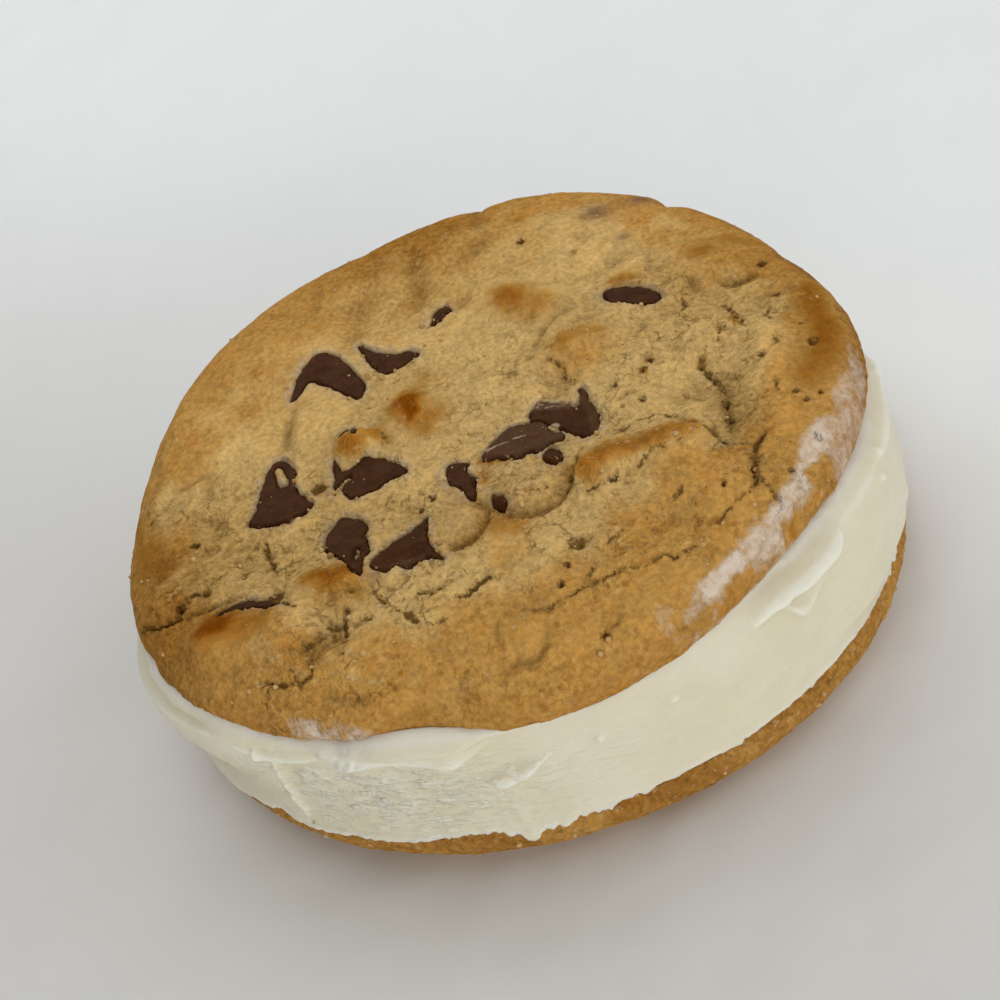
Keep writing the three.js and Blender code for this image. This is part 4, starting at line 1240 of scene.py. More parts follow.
# How far from its edge a lap has its full thickness, and from where to where past a flat side it starts.
LAP_ROUNDING = 0.7
LAP_START = (-1.4, -0.2)
# The shares of a lip's length over which it grows at its start and fades at its end, the heights past its
# underside from and to which it comes out, how much of it is lost further up, and where it droops.
LIP_GROWTH, LIP_FADING = 0.25, 0.3
LIP_UNDERSIDE = (-0.7, 1.3)
LIP_LOSS = 0.85
DROOP_HEIGHT, DROOP_REACH = 0.4, 0.9
# How much the wall's broad waves, its small ones, its streaks and its grain stand out.
WAVES, WAVELETS, STREAKS, WALL_GRAIN = 0.4, 0.1, 0.3, 0.03
# The angle and half width of the streaky side and of the side whose lower edge has small teeth, in degrees.
STREAKY_SIDE = (-122, 24)
STREAKY_HEIGHT = 7.5
TOOTHED_SIDE = (-30, 32)
# How uneven the lower and the upper edge are, how far the lower one is let down, and up to what height the
# wall may be the lap over the lower rim.
FOOT_UNEVEN, HEAD_UNEVEN = 0.38, 0.1
FOOT_LET_DOWN = 0.1
LOWER_LAP_TOP = 1.4
# How much of what stands out of the wall the upper lap follows at most, how far from its edge it does so in
# full, and how far the custard's upper edge is tucked in.
UPPER_LAP_MOST = 2.4
UPPER_LAP_FADE = 1.6
EDGE_TUCK = 0.5
# How many times the wall is smoothed to find its hollows, and how deep a full one is. The material paints
# shade into the hollows and highlight on what stands out.
WALL_BLURS = (8, 50)
WALL_HOLLOW = 0.5


def lip_relief(turns, heights, out, up, droop, line):
    """How far a lip stands out, and how far it hangs down."""
    angles, levels = zip(*smooth_path(line, OUTLINE_STEPS))
    first, last = min(angles), max(angles)
    span = last - first
    ends = fade(turns, first, first + LIP_GROWTH * span) * (1 - fade(turns, last - LIP_FADING * span, last))
    above = heights - np.interp(turns, angles, levels)
    form = fade(above, *LIP_UNDERSIDE) * (1 - LIP_LOSS * fade(above, up * 0.4, up * 2))
    return out * ends * form, droop * ends * soft_bump(above - DROOP_HEIGHT, DROOP_REACH)


def lapped(rim, beyond, from_edge):
    """The radius of custard that laps over a rim: beyond is how far past the flat side it lies, and from_edge
    how far it is from the custard's own edge."""
    insets, heights = zip(*EDGE_PROFILE)
    thick = FILM_THICKNESS * np.sqrt(np.clip(from_edge / LAP_ROUNDING, 0, 1))
    return rim - np.interp(np.maximum(beyond, 0), heights, insets) + thick * fade(beyond, *LAP_START)


def custard_edges(turn, angle):
    """The heights of the custard's lower and upper edges over the lower cookie's flat side."""
    foot_angles, foot_levels = zip(*smooth_path([*CUSTARD_FOOT, (180, CUSTARD_FOOT[0][1])], 4))
    head_angles, head_levels = zip(*smooth_path(CUSTARD_HEAD))
    ring = on_level(on_circle(UPPER_RADIUS, angle))
    foot = np.interp(turn, foot_angles, foot_levels) + FOOT_UNEVEN * rough(ring, 2.2, 3, 401, 0.65)
    foot = foot - FOOT_LET_DOWN + stretched(0.12, 0.4, angle, *TOOTHED_SIDE) * rough(ring, 1.1, 2, 403)
    head = np.interp(turn, head_angles, head_levels) + HEAD_UNEVEN * rough(ring + (0, 0, 30), 3.2, 2, 405)
    return np.minimum(foot, 0), CUSTARD_THICKNESS + np.maximum(head, 0)


def wall_relief(turn, angle, height, streaky):
    """How far the custard stands out of its plain wall, and how far it hangs down."""
    level = np.clip(height / CUSTARD_THICKNESS, 0, 1)
    swell = sum(
        out * soft_bump(turn_between(turn, at), spread) * soft_bump(level - middle, band)
        for at, spread, middle, band, out in CUSTARD_SWELLS
    )
    places = np.column_stack([on_circle(UPPER_RADIUS, angle), height])
    wavy = WAVES * rough(places * (1, 1, 1.5), 11, 2, 411)
    wavy += WAVELETS * rough(places * (1, 1, 2.2), 4.2, 2, 421)
    streaks = STREAKS * streaky * rough(places * (1, 1, 3.4), 3.6, 3, 431, 0.6)
    fine = WALL_GRAIN * rough(places, 1.3, 3, 441, 0.6)
    ends = np.minimum(0.25 + 4 * level, 1) * np.minimum(0.45 + 6 * (1 - level), 1)
    out = ends * (swell + wavy + streaks + fine)
    droop = np.zeros(len(turn))
    for lip in CUSTARD_LIPS:
        lip_out, lip_droop = lip_relief(turn, height, *lip)
        out += lip_out
        droop += lip_droop
    across = np.stack([turn * WALL_SCALE, height], axis=1)
    for points, wide, high in CUSTARD_RIDGES:
        path = smooth_path([(at * WALL_SCALE, up) for at, up in points])
        near = close_to(across, path, 3 * wide)
        distance, along, _ = along_path(across[near], path)
        out[near] += high * soft_bump(distance, wide) * open_between_ends(mixed(along, 0.05, 0.95))
    return out, droop


def wall_radius(angle, height, foot, head, out):
    """How far from the axis the custard's wall and its laps over both rims are."""
    below, above = lower_rim(angle) - CUSTARD_INSET_BELOW, upper_rim(angle) - CUSTARD_INSET_ABOVE
    wall = mixed(np.clip(height / CUSTARD_THICKNESS, 0, 1), below, above) + out
    lower_lap = lapped(lower_rim(angle), -height, height - foot)
    upper_lap = lapped(upper_rim(angle), height - CUSTARD_THICKNESS, head - height)
    upper_lap += np.clip(out, 0, UPPER_LAP_MOST) * np.sqrt(fade(head - height, 0, UPPER_LAP_FADE))
    radius = np.where(height < LOWER_LAP_TOP, np.maximum(wall, lower_lap), wall)
    radius = np.where(height > CUSTARD_THICKNESS, upper_lap, radius)
    tucked = fade(height, head - 1.0, head + 0.1)
    return radius - EDGE_TUCK * (1 - np.sqrt(np.clip(1 - tucked**2, 0, 1)))


def custard_wall():
    """The custard's side as a grid of places, angle by height, and what its material is told."""
    turns = np.linspace(-180, 180, WALL_STEPS, endpoint=False)
    shares = np.linspace(0, 1, WALL_RINGS)
    turn, share = (axis.ravel() for axis in np.meshgrid(turns, shares, indexing="ij"))
    angle = np.radians(turn)
    foot, head = custard_edges(turn, angle)
    height = mixed(share, foot, head)
    streaky = stretched(0.12, 1, angle, *STREAKY_SIDE) * soft_bump(height - STREAKY_HEIGHT, STREAKY_HEIGHT)
    out, droop = wall_relief(turn, angle, height, streaky)
    radius = wall_radius(angle, height, foot, head, out)
    around = 0.5 * sum(grid_blur(out, WALL_STEPS, times) for times in WALL_BLURS)
    marks = {
        "edge": 1 - fade(height - foot, 0, 1.3) + fade(height - head, -1.0, 0),
        "relief_shading": np.clip((around - out) / WALL_HOLLOW, -1, 1),
        "streaky": streaky,
    }
    return np.column_stack([on_circle(radius, angle), height - droop]), marks


def custard_filling(material):
    """The custard's wall, with a ring and a fan that close it under each cookie."""
    wall, marks = custard_wall()
    place = np.arange(WALL_STEPS * WALL_RINGS).reshape(WALL_STEPS, WALL_RINGS)
    after = np.roll(place, -1, axis=0)
    pulled = 1 - CUSTARD_REACH_UNDER / UPPER_RADIUS
    rings = [
        np.column_stack([wall[edge, :2] * pulled, np.full(WALL_STEPS, level)])
        for edge, level in ((place[:, 0], CUSTARD_LOW), (place[:, -1], CUSTARD_HIGH))
    ]
    low = place.size + np.arange(WALL_STEPS)
    high = low + WALL_STEPS
    low_after, high_after = np.roll(low, -1), np.roll(high, -1)
    low_middle = place.size + 2 * WALL_STEPS
    quads = np.concatenate([
        np.stack([place[:, :-1], after[:, :-1], after[:, 1:], place[:, 1:]], axis=-1).reshape(-1, 4),
        np.stack([low, low_after, after[:, 0], place[:, 0]], axis=-1),
        np.stack([place[:, -1], after[:, -1], high_after, high], axis=-1),
    ])
    low_fan = [(low_middle, int(second), int(first)) for first, second in zip(low, low_after)]
    high_fan = [(int(first), int(second), low_middle + 1) for first, second in zip(high, high_after)]
    faces = [*quads.tolist(), *low_fan, *high_fan]
    lift = (0, 0, LOWER_FLAT)
    places = np.concatenate([wall, *rings, [(0, 0, CUSTARD_LOW), (0, 0, CUSTARD_HIGH)]]) + lift
    make_piece("custard_filling", places, faces, material, ["custard"], marks)
    return wall + lift


# Crumbs

# Crumbs on the upper face, each of its first chips, the lower rim and the custard's foot: how many, their
# least and greatest radius, and the share of it that their middles stand off the surface.
FACE_CRUMBS = (420, 0.16, 0.42, 0.15)
CHIP_CRUMBS = (2, 0.07, 0.2, 0.1)
RIM_CRUMBS = (90, 0.15, 0.45, 0.1)
FOOT_CRUMBS = (16, 0.12, 0.3, 0.1)
CRUMBED_CHIPS = 12
# How far back the rim has crumbs, and how far up the custard has them.
CRUMBED_BACK = 30
CRUMBED_FOOT = 2.5
CRUMB_SEED = 17
# The power that a random share is raised to, so that most crumbs are small.
SMALLNESS = 2.5
CRUMB_WOBBLE = 0.32
BALL_SPLITS = 2
# So small a chance that it only keeps every weight above 0.
LEAST_CHANCE = 1e-9


def unit_ball():
    """A ball of triangles: an octahedron whose faces are split."""
    places = [Vector(p) for p in ((1, 0, 0), (0, 1, 0), (-1, 0, 0), (0, -1, 0), (0, 0, 1), (0, 0, -1))]
    faces = [(0, 1, 4), (1, 2, 4), (2, 3, 4), (3, 0, 4), (1, 0, 5), (2, 1, 5), (3, 2, 5), (0, 3, 5)]
    for _ in range(BALL_SPLITS):
        middles, split = {}, []
        for a, b, c in faces:
            ab, bc, ca = (halfway(places, middles, *edge) for edge in ((a, b), (b, c), (c, a)))
            split += [(a, ab, ca), (ab, b, bc), (ca, bc, c), (ab, bc, ca)]
        faces = split
    return np.array(places), np.array(faces)


def halfway(places, middles, a, b):
    """The point half way along an edge of the ball, made once for the two faces that share it."""
    key = (min(a, b), max(a, b))
    if key not in middles:
        middles[key] = len(places)
        places.append((places[a] + places[b]).normalized())
    return middles[key]


def lump(random, ball, radius):
    """An uneven little lump of dough round the origin."""
    stretch = random.uniform(0.7, 1.3, 3)
    wobble = 1 + CRUMB_WOBBLE * noise(ball * 1.4 + random.uniform(0, 90, 3), 1, 5)
    return ball * wobble[:, None] * stretch * radius


def dropped(random, places, facing, weight, count, least, greatest, stand_off):
    """The middles and radii of crumbs. weight says how likely each place is to have one."""
    spots = []
    for index in random.choice(len(places), count, p=weight / weight.sum()):
        size = least + (greatest - least) * random.random() ** SMALLNESS
        spots.append((places[index] + facing[index % len(facing)] * size * stand_off, size))
    return spots


def crumb_piece(upper, lower, chips, wall, material):
    """Crumbs on the upper face, its chips, the lower rim and the custard, as one piece."""
    random = np.random.default_rng(CRUMB_SEED)
    facing_up = np.array([(0, 0, 1.0)])
    likely = 0.2 + upper.marks["dusty"] * 2 + upper.marks["crack"]
    on_face = (upper.inset > 1) * likely * upper.marks["rough_dough"]
    spots = dropped(random, upper.places, upper.facing, on_face, *FACE_CRUMBS)
    for one in chips[:CRUMBED_CHIPS]:
        spots += dropped(random, one.places, facing_up, one.shown + LEAST_CHANCE, *CHIP_CRUMBS)
    on_rim = (lower.inset < 0.5) * (lower.places[:, 1] < CRUMBED_BACK) * 1.0
    spots += dropped(random, lower.places, lower.facing, on_rim, *RIM_CRUMBS)
    outward = wall * (1, 1, 0) / np.linalg.norm(wall[:, :2], axis=1)[:, None]
    on_foot = (wall[:, 2] < LOWER_FLAT + CRUMBED_FOOT) * 1.0
    spots += dropped(random, wall, outward, on_foot, *FOOT_CRUMBS)
    ball, ball_faces = unit_ball()
    places = np.concatenate([lump(random, ball, size) + spot for spot, size in spots])
    faces = np.concatenate([ball_faces + len(ball) * index for index in range(len(spots))])
    make_piece("crumbs", places, faces.tolist(), material)


# Materials

def paint(red, green, blue):
    """A screen colour, each part from 0 to 255, as the linear colour that a shader takes."""
    shares = (red / 255, green / 255, blue / 255)
    linear = [share / 12.92 if share <= 0.04045 else ((share + 0.055) / 1.055) ** 2.4 for share in shares]
    return (*linear, 1)


class Shader:
    """Makes one material's nodes."""

    def __init__(self, name):
        self.material = bpy.data.materials.new(name)
        self.material.use_nodes = True
        self.tree = self.material.node_tree
        self.surface = self.tree.nodes["Principled BSDF"]
        self.place = self.tree.nodes.new("ShaderNodeTexCoord").outputs["Object"]

    def make(self, kind, inputs=(), **settings):
        node = self.tree.nodes.new(kind)
        for name, value in settings.items():
            setattr(node, name, value)
        for name, value in dict(inputs).items():
            self.give(node.inputs[name], value)
        return node

    def give(self, socket, value):
        if isinstance(value, bpy.types.NodeSocket):
            self.tree.links.new(value, socket)
        else:
            socket.default_value = value

    def set(self, **inputs):
        for name, value in inputs.items():
            self.give(self.surface.inputs[name.replace("_", " ")], value)

    def mark(self, name):
        return self.make("ShaderNodeAttribute", attribute_name=name).outputs["Fac"]

    def texture(self, kind, size, place=None, inputs=(), **settings):
        """A texture whose features are size millimetres across."""
        lay = {"Vector": place or self.place, "Scale": 1 / (size * MM)}
        return self.make(kind, {**lay, **dict(inputs)}, **settings)

    def noise(self, size, detail=3, roughness=0.55, place=None):
        """Noise from 0 to 1."""
        inputs = {"Detail": detail, "Roughness": roughness}
        return self.texture("ShaderNodeTexNoise", size, place, inputs).outputs["Fac"]

    def seams(self, size, place):
        """How far it is to the seam between two cells, as a share of their size."""
        cells = self.texture("ShaderNodeTexVoronoi", size, place, feature="DISTANCE_TO_EDGE")
        return cells.outputs["Distance"]

    def warped(self, size, amount):
        """The place on the object, moved about by up to amount millimetres."""
        away = self.texture("ShaderNodeTexNoise", size).outputs["Color"]
        centred = self.vector_maths("SUBTRACT", away, (0.5, 0.5, 0.5))
        return self.vector_maths("MULTIPLY_ADD", centred, (amount * MM * 2,) * 3, self.place)

    def between(self, value, low, high, to_low=0.0, to_high=1.0):
        """A smooth step from to_low to to_high as value goes from low to high."""
        node = self.make("ShaderNodeMapRange", {"Value": value}, interpolation_type="SMOOTHSTEP")
        for name, number in zip(("From Min", "From Max", "To Min", "To Max"), (low, high, to_low, to_high)):
            self.give(node.inputs[name], number)
        return node.outputs["Result"]

    def maths(self, operation, *values):
        return self.make("ShaderNodeMath", dict(enumerate(values)), operation=operation).outputs[0]

    def vector_maths(self, operation, *values):
        return self.make("ShaderNodeVectorMath", dict(enumerate(values)), operation=operation).outputs[0]

    def times(self, first, second):
        return self.maths("MULTIPLY", first, second)

    def summed(self, *terms):
        """The total of values, each times a number."""
        total = 0.0
        for value, factor in terms:
            total = self.maths("MULTIPLY_ADD", value, factor, total)
        return total

    def mix(self, share, first, second, blend="MIX"):
        node = self.make("ShaderNodeMix", data_type="RGBA", blend_type=blend)
        for index, value in ((0, share), (6, first), (7, second)):
            self.give(node.inputs[index], value)
        return node.outputs[2]

    def ramp(self, value, stops):
        node = self.make("ShaderNodeValToRGB", {"Fac": value})
        ends = node.color_ramp.elements
        while len(ends) < len(stops):
            ends.new(1.0)
        for stop, (at, colour) in zip(ends, stops):
            stop.position = at
            stop.color = colour
        return node.outputs["Color"]

    def bump(self, height):
        """Relief from a height in millimetres."""
        inputs = {"Height": height, "Distance": MM, "Strength": 1.0}
        return self.make("ShaderNodeBump", inputs).outputs["Normal"]


PALE_DOUGH = paint(226, 187, 118)
GOLDEN_DOUGH = paint(206, 155, 80)
WARM_DOUGH = paint(202, 142, 64)
TOASTED_DOUGH = paint(170, 118, 52)
OLIVE_DOUGH = paint(164, 134, 76)
LIGHT_CRUMB = paint(226, 198, 148)
BROWN_RIM = paint(144, 89, 26)
DUSTY_DOUGH = paint(204, 180, 144)
# Colours inside cracks and holes: painted shade, darker the deeper they are.
PALE_CRACK_SHADE = paint(142, 108, 54)
GOLDEN_CRACK_SHADE = paint(148, 98, 40)
SHALLOW_CRACK_SHADE = paint(160, 122, 64)
# The crumb's specks, and also the painted shade in hollows and round cracks.
SPECK_AND_SHADE_DOUGH = paint(146, 112, 56)
STAINED_DOUGH = paint(118, 84, 70)
FILM = paint(232, 216, 198)
# The crust's colour from where it is little browned, at 0, to where it is most browned, at 1.
BROWNED_COLOURS = [
    (0, paint(204, 158, 90)), (0.3, paint(198, 150, 78)), (0.55, paint(180, 124, 48)),
    (0.8, paint(154, 90, 20)), (1, paint(130, 70, 6)),
]
# How much each part of the colour falls where the crust is painted darker, as its own tone and as painted
# shade.
DARKENING_BY_PART = {"Red": 1.0, "Green": 1.25, "Blue": 1.7}


def dough_material():
    """Baked dough: pale and sandy in the middle, golden towards the rim, darker where it browned most."""
    s = Shader("baked_dough")
    grain = s.noise(0.75, 2, 0.6)
    fine = s.noise(1.4, 4, 0.62)
    mottle = s.noise(3.2, 3, 0.6)
    broad = s.noise(6.5, 3, 0.5)
    coarse = s.mark("rough_dough")
    golden = s.between(s.summed((s.mark("golden"), 1.0), (broad, 1.2), (1.0, -0.6)), 0.05, 0.95)
    colour = s.mix(golden, PALE_DOUGH, GOLDEN_DOUGH)
    colour = s.mix(s.times(golden, s.between(mottle, 0.5, 0.66, 0.0, 0.5)), colour, WARM_DOUGH)
    toasted = s.times(golden, s.between(s.noise(1.8, 4, 0.65), 0.5, 0.66, 0.0, 0.5))
    colour = s.mix(toasted, colour, TOASTED_DOUGH)
    colour = s.mix(s.between(s.noise(4.4, 3, 0.6), 0.5, 0.7, 0.0, 0.28), colour, OLIVE_DOUGH)
    colour = s.mix(s.times(s.mark("dusty"), s.between(fine, 0.3, 0.65)), colour, DUSTY_DOUGH)
    rim = s.times(s.mark("rim_brown"), s.between(fine, 0.3, 0.7, 0.6, 1.0))
    colour = s.mix(rim, colour, BROWN_RIM)
    speckled = s.summed((s.mark("browned"), 1.0), (grain, 0.3), (fine, 0.3), (1.0, -0.3))
    colour = s.mix(s.between(speckled, 0.04, 0.4), colour, s.ramp(speckled, BROWNED_COLOURS))
    strokes = s.times(s.between(s.noise(0.9, 3, 0.65), 0.56, 0.68), s.between(mottle, 0.42, 0.62))
    strokes = s.times(strokes, s.between(coarse, 0.15, 1.0, 0.0, 0.62))
    colour = s.mix(strokes, colour, SPECK_AND_SHADE_DOUGH)
    light = s.times(s.between(s.noise(1.1, 2, 0.6), 0.58, 0.68), s.between(coarse, 0.3, 1.2, 0.0, 0.45))
    colour = s.mix(light, colour, LIGHT_CRUMB)
    # Painted shade: darker in the relief's narrow hollows.
    colour = s.mix(s.between(s.mark("relief_shading"), 0.0, 1.0, 0.0, 0.5), colour, SPECK_AND_SHADE_DOUGH)
    edge = s.summed((s.mark("crack"), 1.0), (s.noise(0.6, 3, 0.65), 1.0), (fine, 0.5), (1.0, -0.75))
    crack = s.between(edge, 0.46, 0.56)
    # Painted shade: a darker band round cracks and holes.
    colour = s.mix(s.between(edge, 0.2, 0.5, 0.0, 0.3), colour, SPECK_AND_SHADE_DOUGH)
    seams = s.seams(3.6, s.warped(1.8, 1.3))
    broken = s.times(s.between(mottle, 0.46, 0.6), s.between(coarse, 0.45, 1.1))
    seam = s.times(s.between(seams, 0.06, 0.01), broken)
    colour = s.mix(s.times(seam, 0.5), colour, SPECK_AND_SHADE_DOUGH)
    deep_shade_colour = s.mix(golden, PALE_CRACK_SHADE, GOLDEN_CRACK_SHADE)
    crack_shade_colour = s.mix(s.between(s.mark("deep"), 0.1, 0.7), SHALLOW_CRACK_SHADE, deep_shade_colour)
    colour = s.mix(crack, colour, crack_shade_colour)
    colour = s.mix(s.times(s.mark("stain"), 0.75), colour, STAINED_DOUGH)
    # Painted shade over broadly sunken ground, on top of the grain's own uneven tone.
    shade = s.summed((s.between(grain, 0.25, 0.75, 0.82, 1.18), 1.0), (s.mark("sunken_shade"), -0.3))
    warmer = {part: s.summed((shade, 1.0), (s.mark("darker_tone_and_shade"), -much)) for part, much in DARKENING_BY_PART.items()}
    shade = s.make("ShaderNodeCombineColor", warmer).outputs["Color"]
    colour = s.mix(1.0, colour, shade, "MULTIPLY")
    patchy = s.summed((s.mark("film"), 1.0), (s.noise(1.2, 4, 0.7), 1.3), (s.noise(4.0, 2), 0.7), (1.0, -1.2))
    film = s.between(patchy, -0.06, 1.0, 0.0, 0.97)
    colour = s.mix(film, colour, FILM)
    baked = ((strokes, -0.15), (light, 0.1), (toasted, -0.12))
    relief = s.summed((grain, 0.3), (fine, 0.8), (mottle, 0.5), *baked)
    relief = s.times(relief, s.between(coarse, 0.2, 1.0, 0.45, 1.2))
    relief = s.times(relief, s.between(film, 0.0, 0.8, 1.0, 0.7))
    s.set(Base_Color=colour, Normal=s.bump(s.summed((relief, 1.0), (crack, -0.35), (seam, -0.16))))
    s.set(Roughness=s.between(film, 0.0, 0.8, 0.85, 0.5), Specular_IOR_Level=0.02)
    return s.material


DARK_CHOCOLATE = paint(62, 33, 13)
BLOOMED_CHOCOLATE = paint(78, 45, 23)
DUSTED_AND_SHEEN_CHOCOLATE = paint(120, 92, 66)
CHOCOLATE_SPECKS_AND_GLINTS = paint(178, 156, 128)
CHOCOLATE_SHEEN = (1.0, 0.62, 0.36, 1)


def chocolate_material():
    """Dark chocolate with a paler bloom, crumb specks near the edges, and painted highlight on one chip."""
    s = Shader("dark_chocolate")
    bloom = s.noise(2.6, 4, 0.6)
    fine = s.noise(0.6, 3, 0.6)
    colour = s.mix(s.between(bloom, 0.35, 0.7), DARK_CHOCOLATE, BLOOMED_CHOCOLATE)
    # Paler under a dusting of crumb and custard, and on one chip as painted sheen.
    colour = s.mix(s.between(s.mark("dust_and_highlight"), 0.0, 0.5, 0.0, 0.4), colour, DUSTED_AND_SHEEN_CHOCOLATE)
    edge_specks = s.times(s.between(fine, 0.6, 0.7), s.between(s.mark("shown"), 0.1, 0.9, 0.75, 0.08))
    # Pale specks from the dusting, which along one chip's fold are painted highlight.
    specks = s.between(s.summed((s.mark("dust_and_highlight"), 1.0), (fine, 1.6), (1.0, -1.3)), 0.0, 0.4)
    colour = s.mix(s.maths("MAXIMUM", edge_specks, specks), colour, CHOCOLATE_SPECKS_AND_GLINTS)
    s.set(Base_Color=colour, Normal=s.bump(s.summed((fine, 0.1), (bloom, 0.7))))
    s.set(Roughness=s.between(fine, 0.3, 0.7, 0.36, 0.5))
    s.set(Specular_IOR_Level=0.1, Specular_Tint=CHOCOLATE_SHEEN)
    return s.material


CREAM = paint(235, 228, 204)
YELLOW_CREAM = paint(230, 222, 193)
SHADED_CREAM = paint(208, 202, 170)
LIT_CREAM = paint(248, 246, 230)
EDGE_AND_LIT_LIP_CREAM = paint(243, 241, 232)
STREAK_HIGHLIGHT_CREAM = paint(250, 248, 234)
# How far light reaches into the custard, in red, green and blue, times the depth in millimetres.
CUSTARD_GLOW = (1.0, 0.85, 0.5)
CUSTARD_GLOW_DEPTH = 1.2


def custard_material():
    """Frozen vanilla custard: smooth, moist and a little translucent."""
    s = Shader("frozen_custard")
    fine = s.noise(0.7, 3, 0.6)
    colour = s.mix(s.between(s.noise(9, 3, 0.5), 0.3, 0.7), CREAM, YELLOW_CREAM)
    # Painted shade in the wall's hollows and painted highlight on what stands out of it.
    colour = s.mix(s.between(s.mark("relief_shading"), 0.0, 1.0, 0.0, 0.4), colour, SHADED_CREAM)
    colour = s.mix(s.between(s.mark("relief_shading"), 0.0, -1.0, 0.0, 0.9), colour, LIT_CREAM)
    # Lighter at the custard's thin lower and upper edges. By the upper edge this is partly painted highlight
    # on the lip under the cookie.
    colour = s.mix(s.between(s.mark("edge"), 0.0, 1.0, 0.0, 0.7), colour, EDGE_AND_LIT_LIP_CREAM)
    flattened = s.vector_maths("MULTIPLY", s.place, (1, 1, 3))
    dashes = s.times(s.between(s.noise(2.8, 3, 0.58, flattened), 0.44, 0.7), s.mark("streaky"))
    # Painted highlight on the streaks' ridges.
    colour = s.mix(s.times(dashes, 0.8), colour, STREAK_HIGHLIGHT_CREAM)
    relief = s.summed((fine, 0.06), (s.noise(2.4, 3, 0.5), 0.22), (dashes, 0.46))
    s.set(Base_Color=colour, Normal=s.bump(relief), Roughness=s.between(fine, 0.3, 0.7, 0.42, 0.56))
    s.set(Subsurface_Weight=0.3, Subsurface_Radius=CUSTARD_GLOW, Subsurface_Scale=CUSTARD_GLOW_DEPTH * MM)
    s.set(Specular_IOR_Level=0.3)
    return s.material


PALE_CRUMB = paint(216, 184, 128)
GOLDEN_CRUMB = paint(186, 142, 82)


def crumb_material():
    """Loose crumbs of dough, paler and darker."""
    s = Shader("dough_crumbs")
    colour = s.mix(s.between(s.noise(2.6, 2), 0.35, 0.65), PALE_CRUMB, GOLDEN_CRUMB)
    s.set(Base_Color=colour, Normal=s.bump(s.summed((s.noise(0.3, 3, 0.6), 0.08))))
    s.set(Roughness=0.85, Specular_IOR_Level=0.1)
    return s.material


SHADED_FLOOR_FRONT = paint(231, 230, 226)
LIT_FLOOR_BACK = paint(252, 255, 255)


def floor_material():
    """A pale floor with a painted pool of light: it gets lighter towards the back and the right."""
    s = Shader("pale_floor")
    across = s.make("ShaderNodeSeparateXYZ", {"Vector": s.place})
    backward = s.summed((across.outputs["Y"], 1.0), (across.outputs["X"], 0.9))
    colour = s.mix(s.between(backward, -0.04, 0.14), SHADED_FLOOR_FRONT, LIT_FLOOR_BACK)
    s.set(Base_Color=colour, Normal=s.bump(s.summed((s.noise(26, 2, 0.5), 1.6))))
    s.set(Roughness=0.7, Specular_IOR_Level=0.2)
    return s.material


# Stage, light and camera

FLOOR_SIZE = 6.0
# White lights: name, place in metres, width and height in metres, and watts. They all face the target.
LIGHTS = [
    ("high_behind", (-0.1, 0.4, 0.45), 0.7, 0.5, 1.6),
    ("overhead", (0, 0, 0.9), 1.0, 1.0, 2.0),
    ("front_low", (0.1, -0.8, 0.2), 1.0, 0.4, 3.2),
    ("front_left", (-0.5, -0.7, 0.45), 0.9, 0.7, 1.2),
    ("right", (0.6, 0.05, 0.45), 0.8, 0.6, 1.8),
]
LIGHT_TARGET = (0, 0, 0.015)
WORLD_COLOUR = (1, 1, 1, 1)
WORLD_STRENGTH = 0.02

IMAGE_SIDE = 1000
CAMERA_ELEVATION = 45.0
CAMERA_ROLL = -21.23
CAMERA_DISTANCE = 258.91
# Where the middle of the lower cookie's flat side shows, and the lens's focal length, in pixels.
AIM_PIXEL = (517.45, 535.14)
FOCAL_PIXELS = 1800.0
SENSOR_WIDTH = 36.0
# The nearest and the farthest that the camera sees, in metres.
NEAREST, FARTHEST = 0.01, 50


def make_floor():
    half = FLOOR_SIZE / 2
    corners = [(x * half, y * half, 0) for x, y in ((-1, -1), (1, -1), (1, 1), (-1, 1))]
    mesh = bpy.data.meshes.new("floor")
    mesh.from_pydata(corners, [], [(0, 1, 2, 3)])
    mesh.materials.append(floor_material())
    floor = bpy.data.objects.new("floor", mesh)
    bpy.context.scene.collection.objects.link(floor)


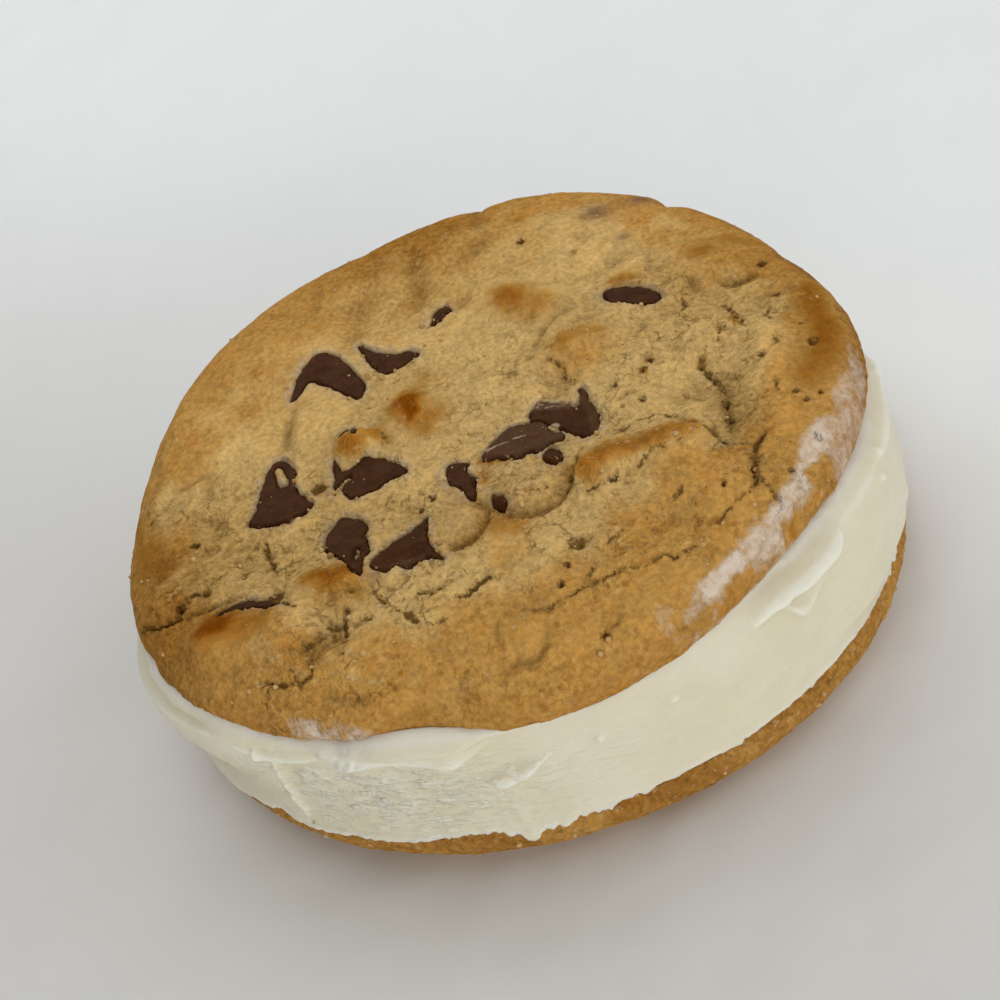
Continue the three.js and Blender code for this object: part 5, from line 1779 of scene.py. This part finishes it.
def make_lights():
    for name, place, wide, high, watts in LIGHTS:
        light = bpy.data.lights.new(name, "AREA")
        light.shape = "RECTANGLE"
        light.size = wide
        light.size_y = high
        light.energy = watts
        lamp = bpy.data.objects.new(name, light)
        lamp.location = place
        lamp.rotation_mode = "QUATERNION"
        lamp.rotation_quaternion = (Vector(LIGHT_TARGET) - lamp.location).to_track_quat("-Z", "Y")
        bpy.context.scene.collection.objects.link(lamp)
    world = bpy.data.worlds.new("soft_room")
    world.use_nodes = True
    background = world.node_tree.nodes["Background"]
    background.inputs["Color"].default_value = WORLD_COLOUR
    background.inputs["Strength"].default_value = WORLD_STRENGTH
    bpy.context.scene.world = world


def make_camera():
    """The camera looks down at the sandwich from the front, and it is rolled."""
    lift, roll = math.radians(CAMERA_ELEVATION), math.radians(CAMERA_ROLL)
    back = Vector((0, -math.cos(lift), math.sin(lift)))
    level_right, level_up = Vector((1, 0, 0)), Vector((0, math.sin(lift), math.cos(lift)))
    right = math.cos(roll) * level_right + math.sin(roll) * level_up
    up = math.cos(roll) * level_up - math.sin(roll) * level_right
    middle = IMAGE_SIDE / 2
    aimed = Vector((AIM_PIXEL[0] - middle, middle - AIM_PIXEL[1], FOCAL_PIXELS)).normalized()
    aim_turn = Vector((0, 0, 1)).rotation_difference(aimed).to_matrix()
    axes = aim_turn @ Matrix((right, up, -back))
    data = bpy.data.cameras.new("camera")
    data.sensor_width = SENSOR_WIDTH
    data.lens = FOCAL_PIXELS * SENSOR_WIDTH / IMAGE_SIDE
    data.clip_start = NEAREST
    data.clip_end = FARTHEST
    camera = bpy.data.objects.new("camera", data)
    origin = Vector((*AXIS_PLACE, LOWER_FLAT))
    turned = Matrix((axes[0], axes[1], -axes[2])).transposed()
    camera.matrix_world = Matrix.Translation((origin + back * CAMERA_DISTANCE) * MM) @ turned.to_4x4()
    bpy.context.scene.collection.objects.link(camera)
    bpy.context.scene.camera = camera


def build():
    bpy.context.scene.view_settings.view_transform = "Standard"
    dough = dough_material()
    upper = upper_cookie(dough)
    lower = lower_cookie(dough)
    chips = all_chips(chocolate_material())
    wall = custard_filling(custard_material())
    crumb_piece(upper, lower, chips, wall, crumb_material())
    make_floor()
    make_lights()
    make_camera()


build()
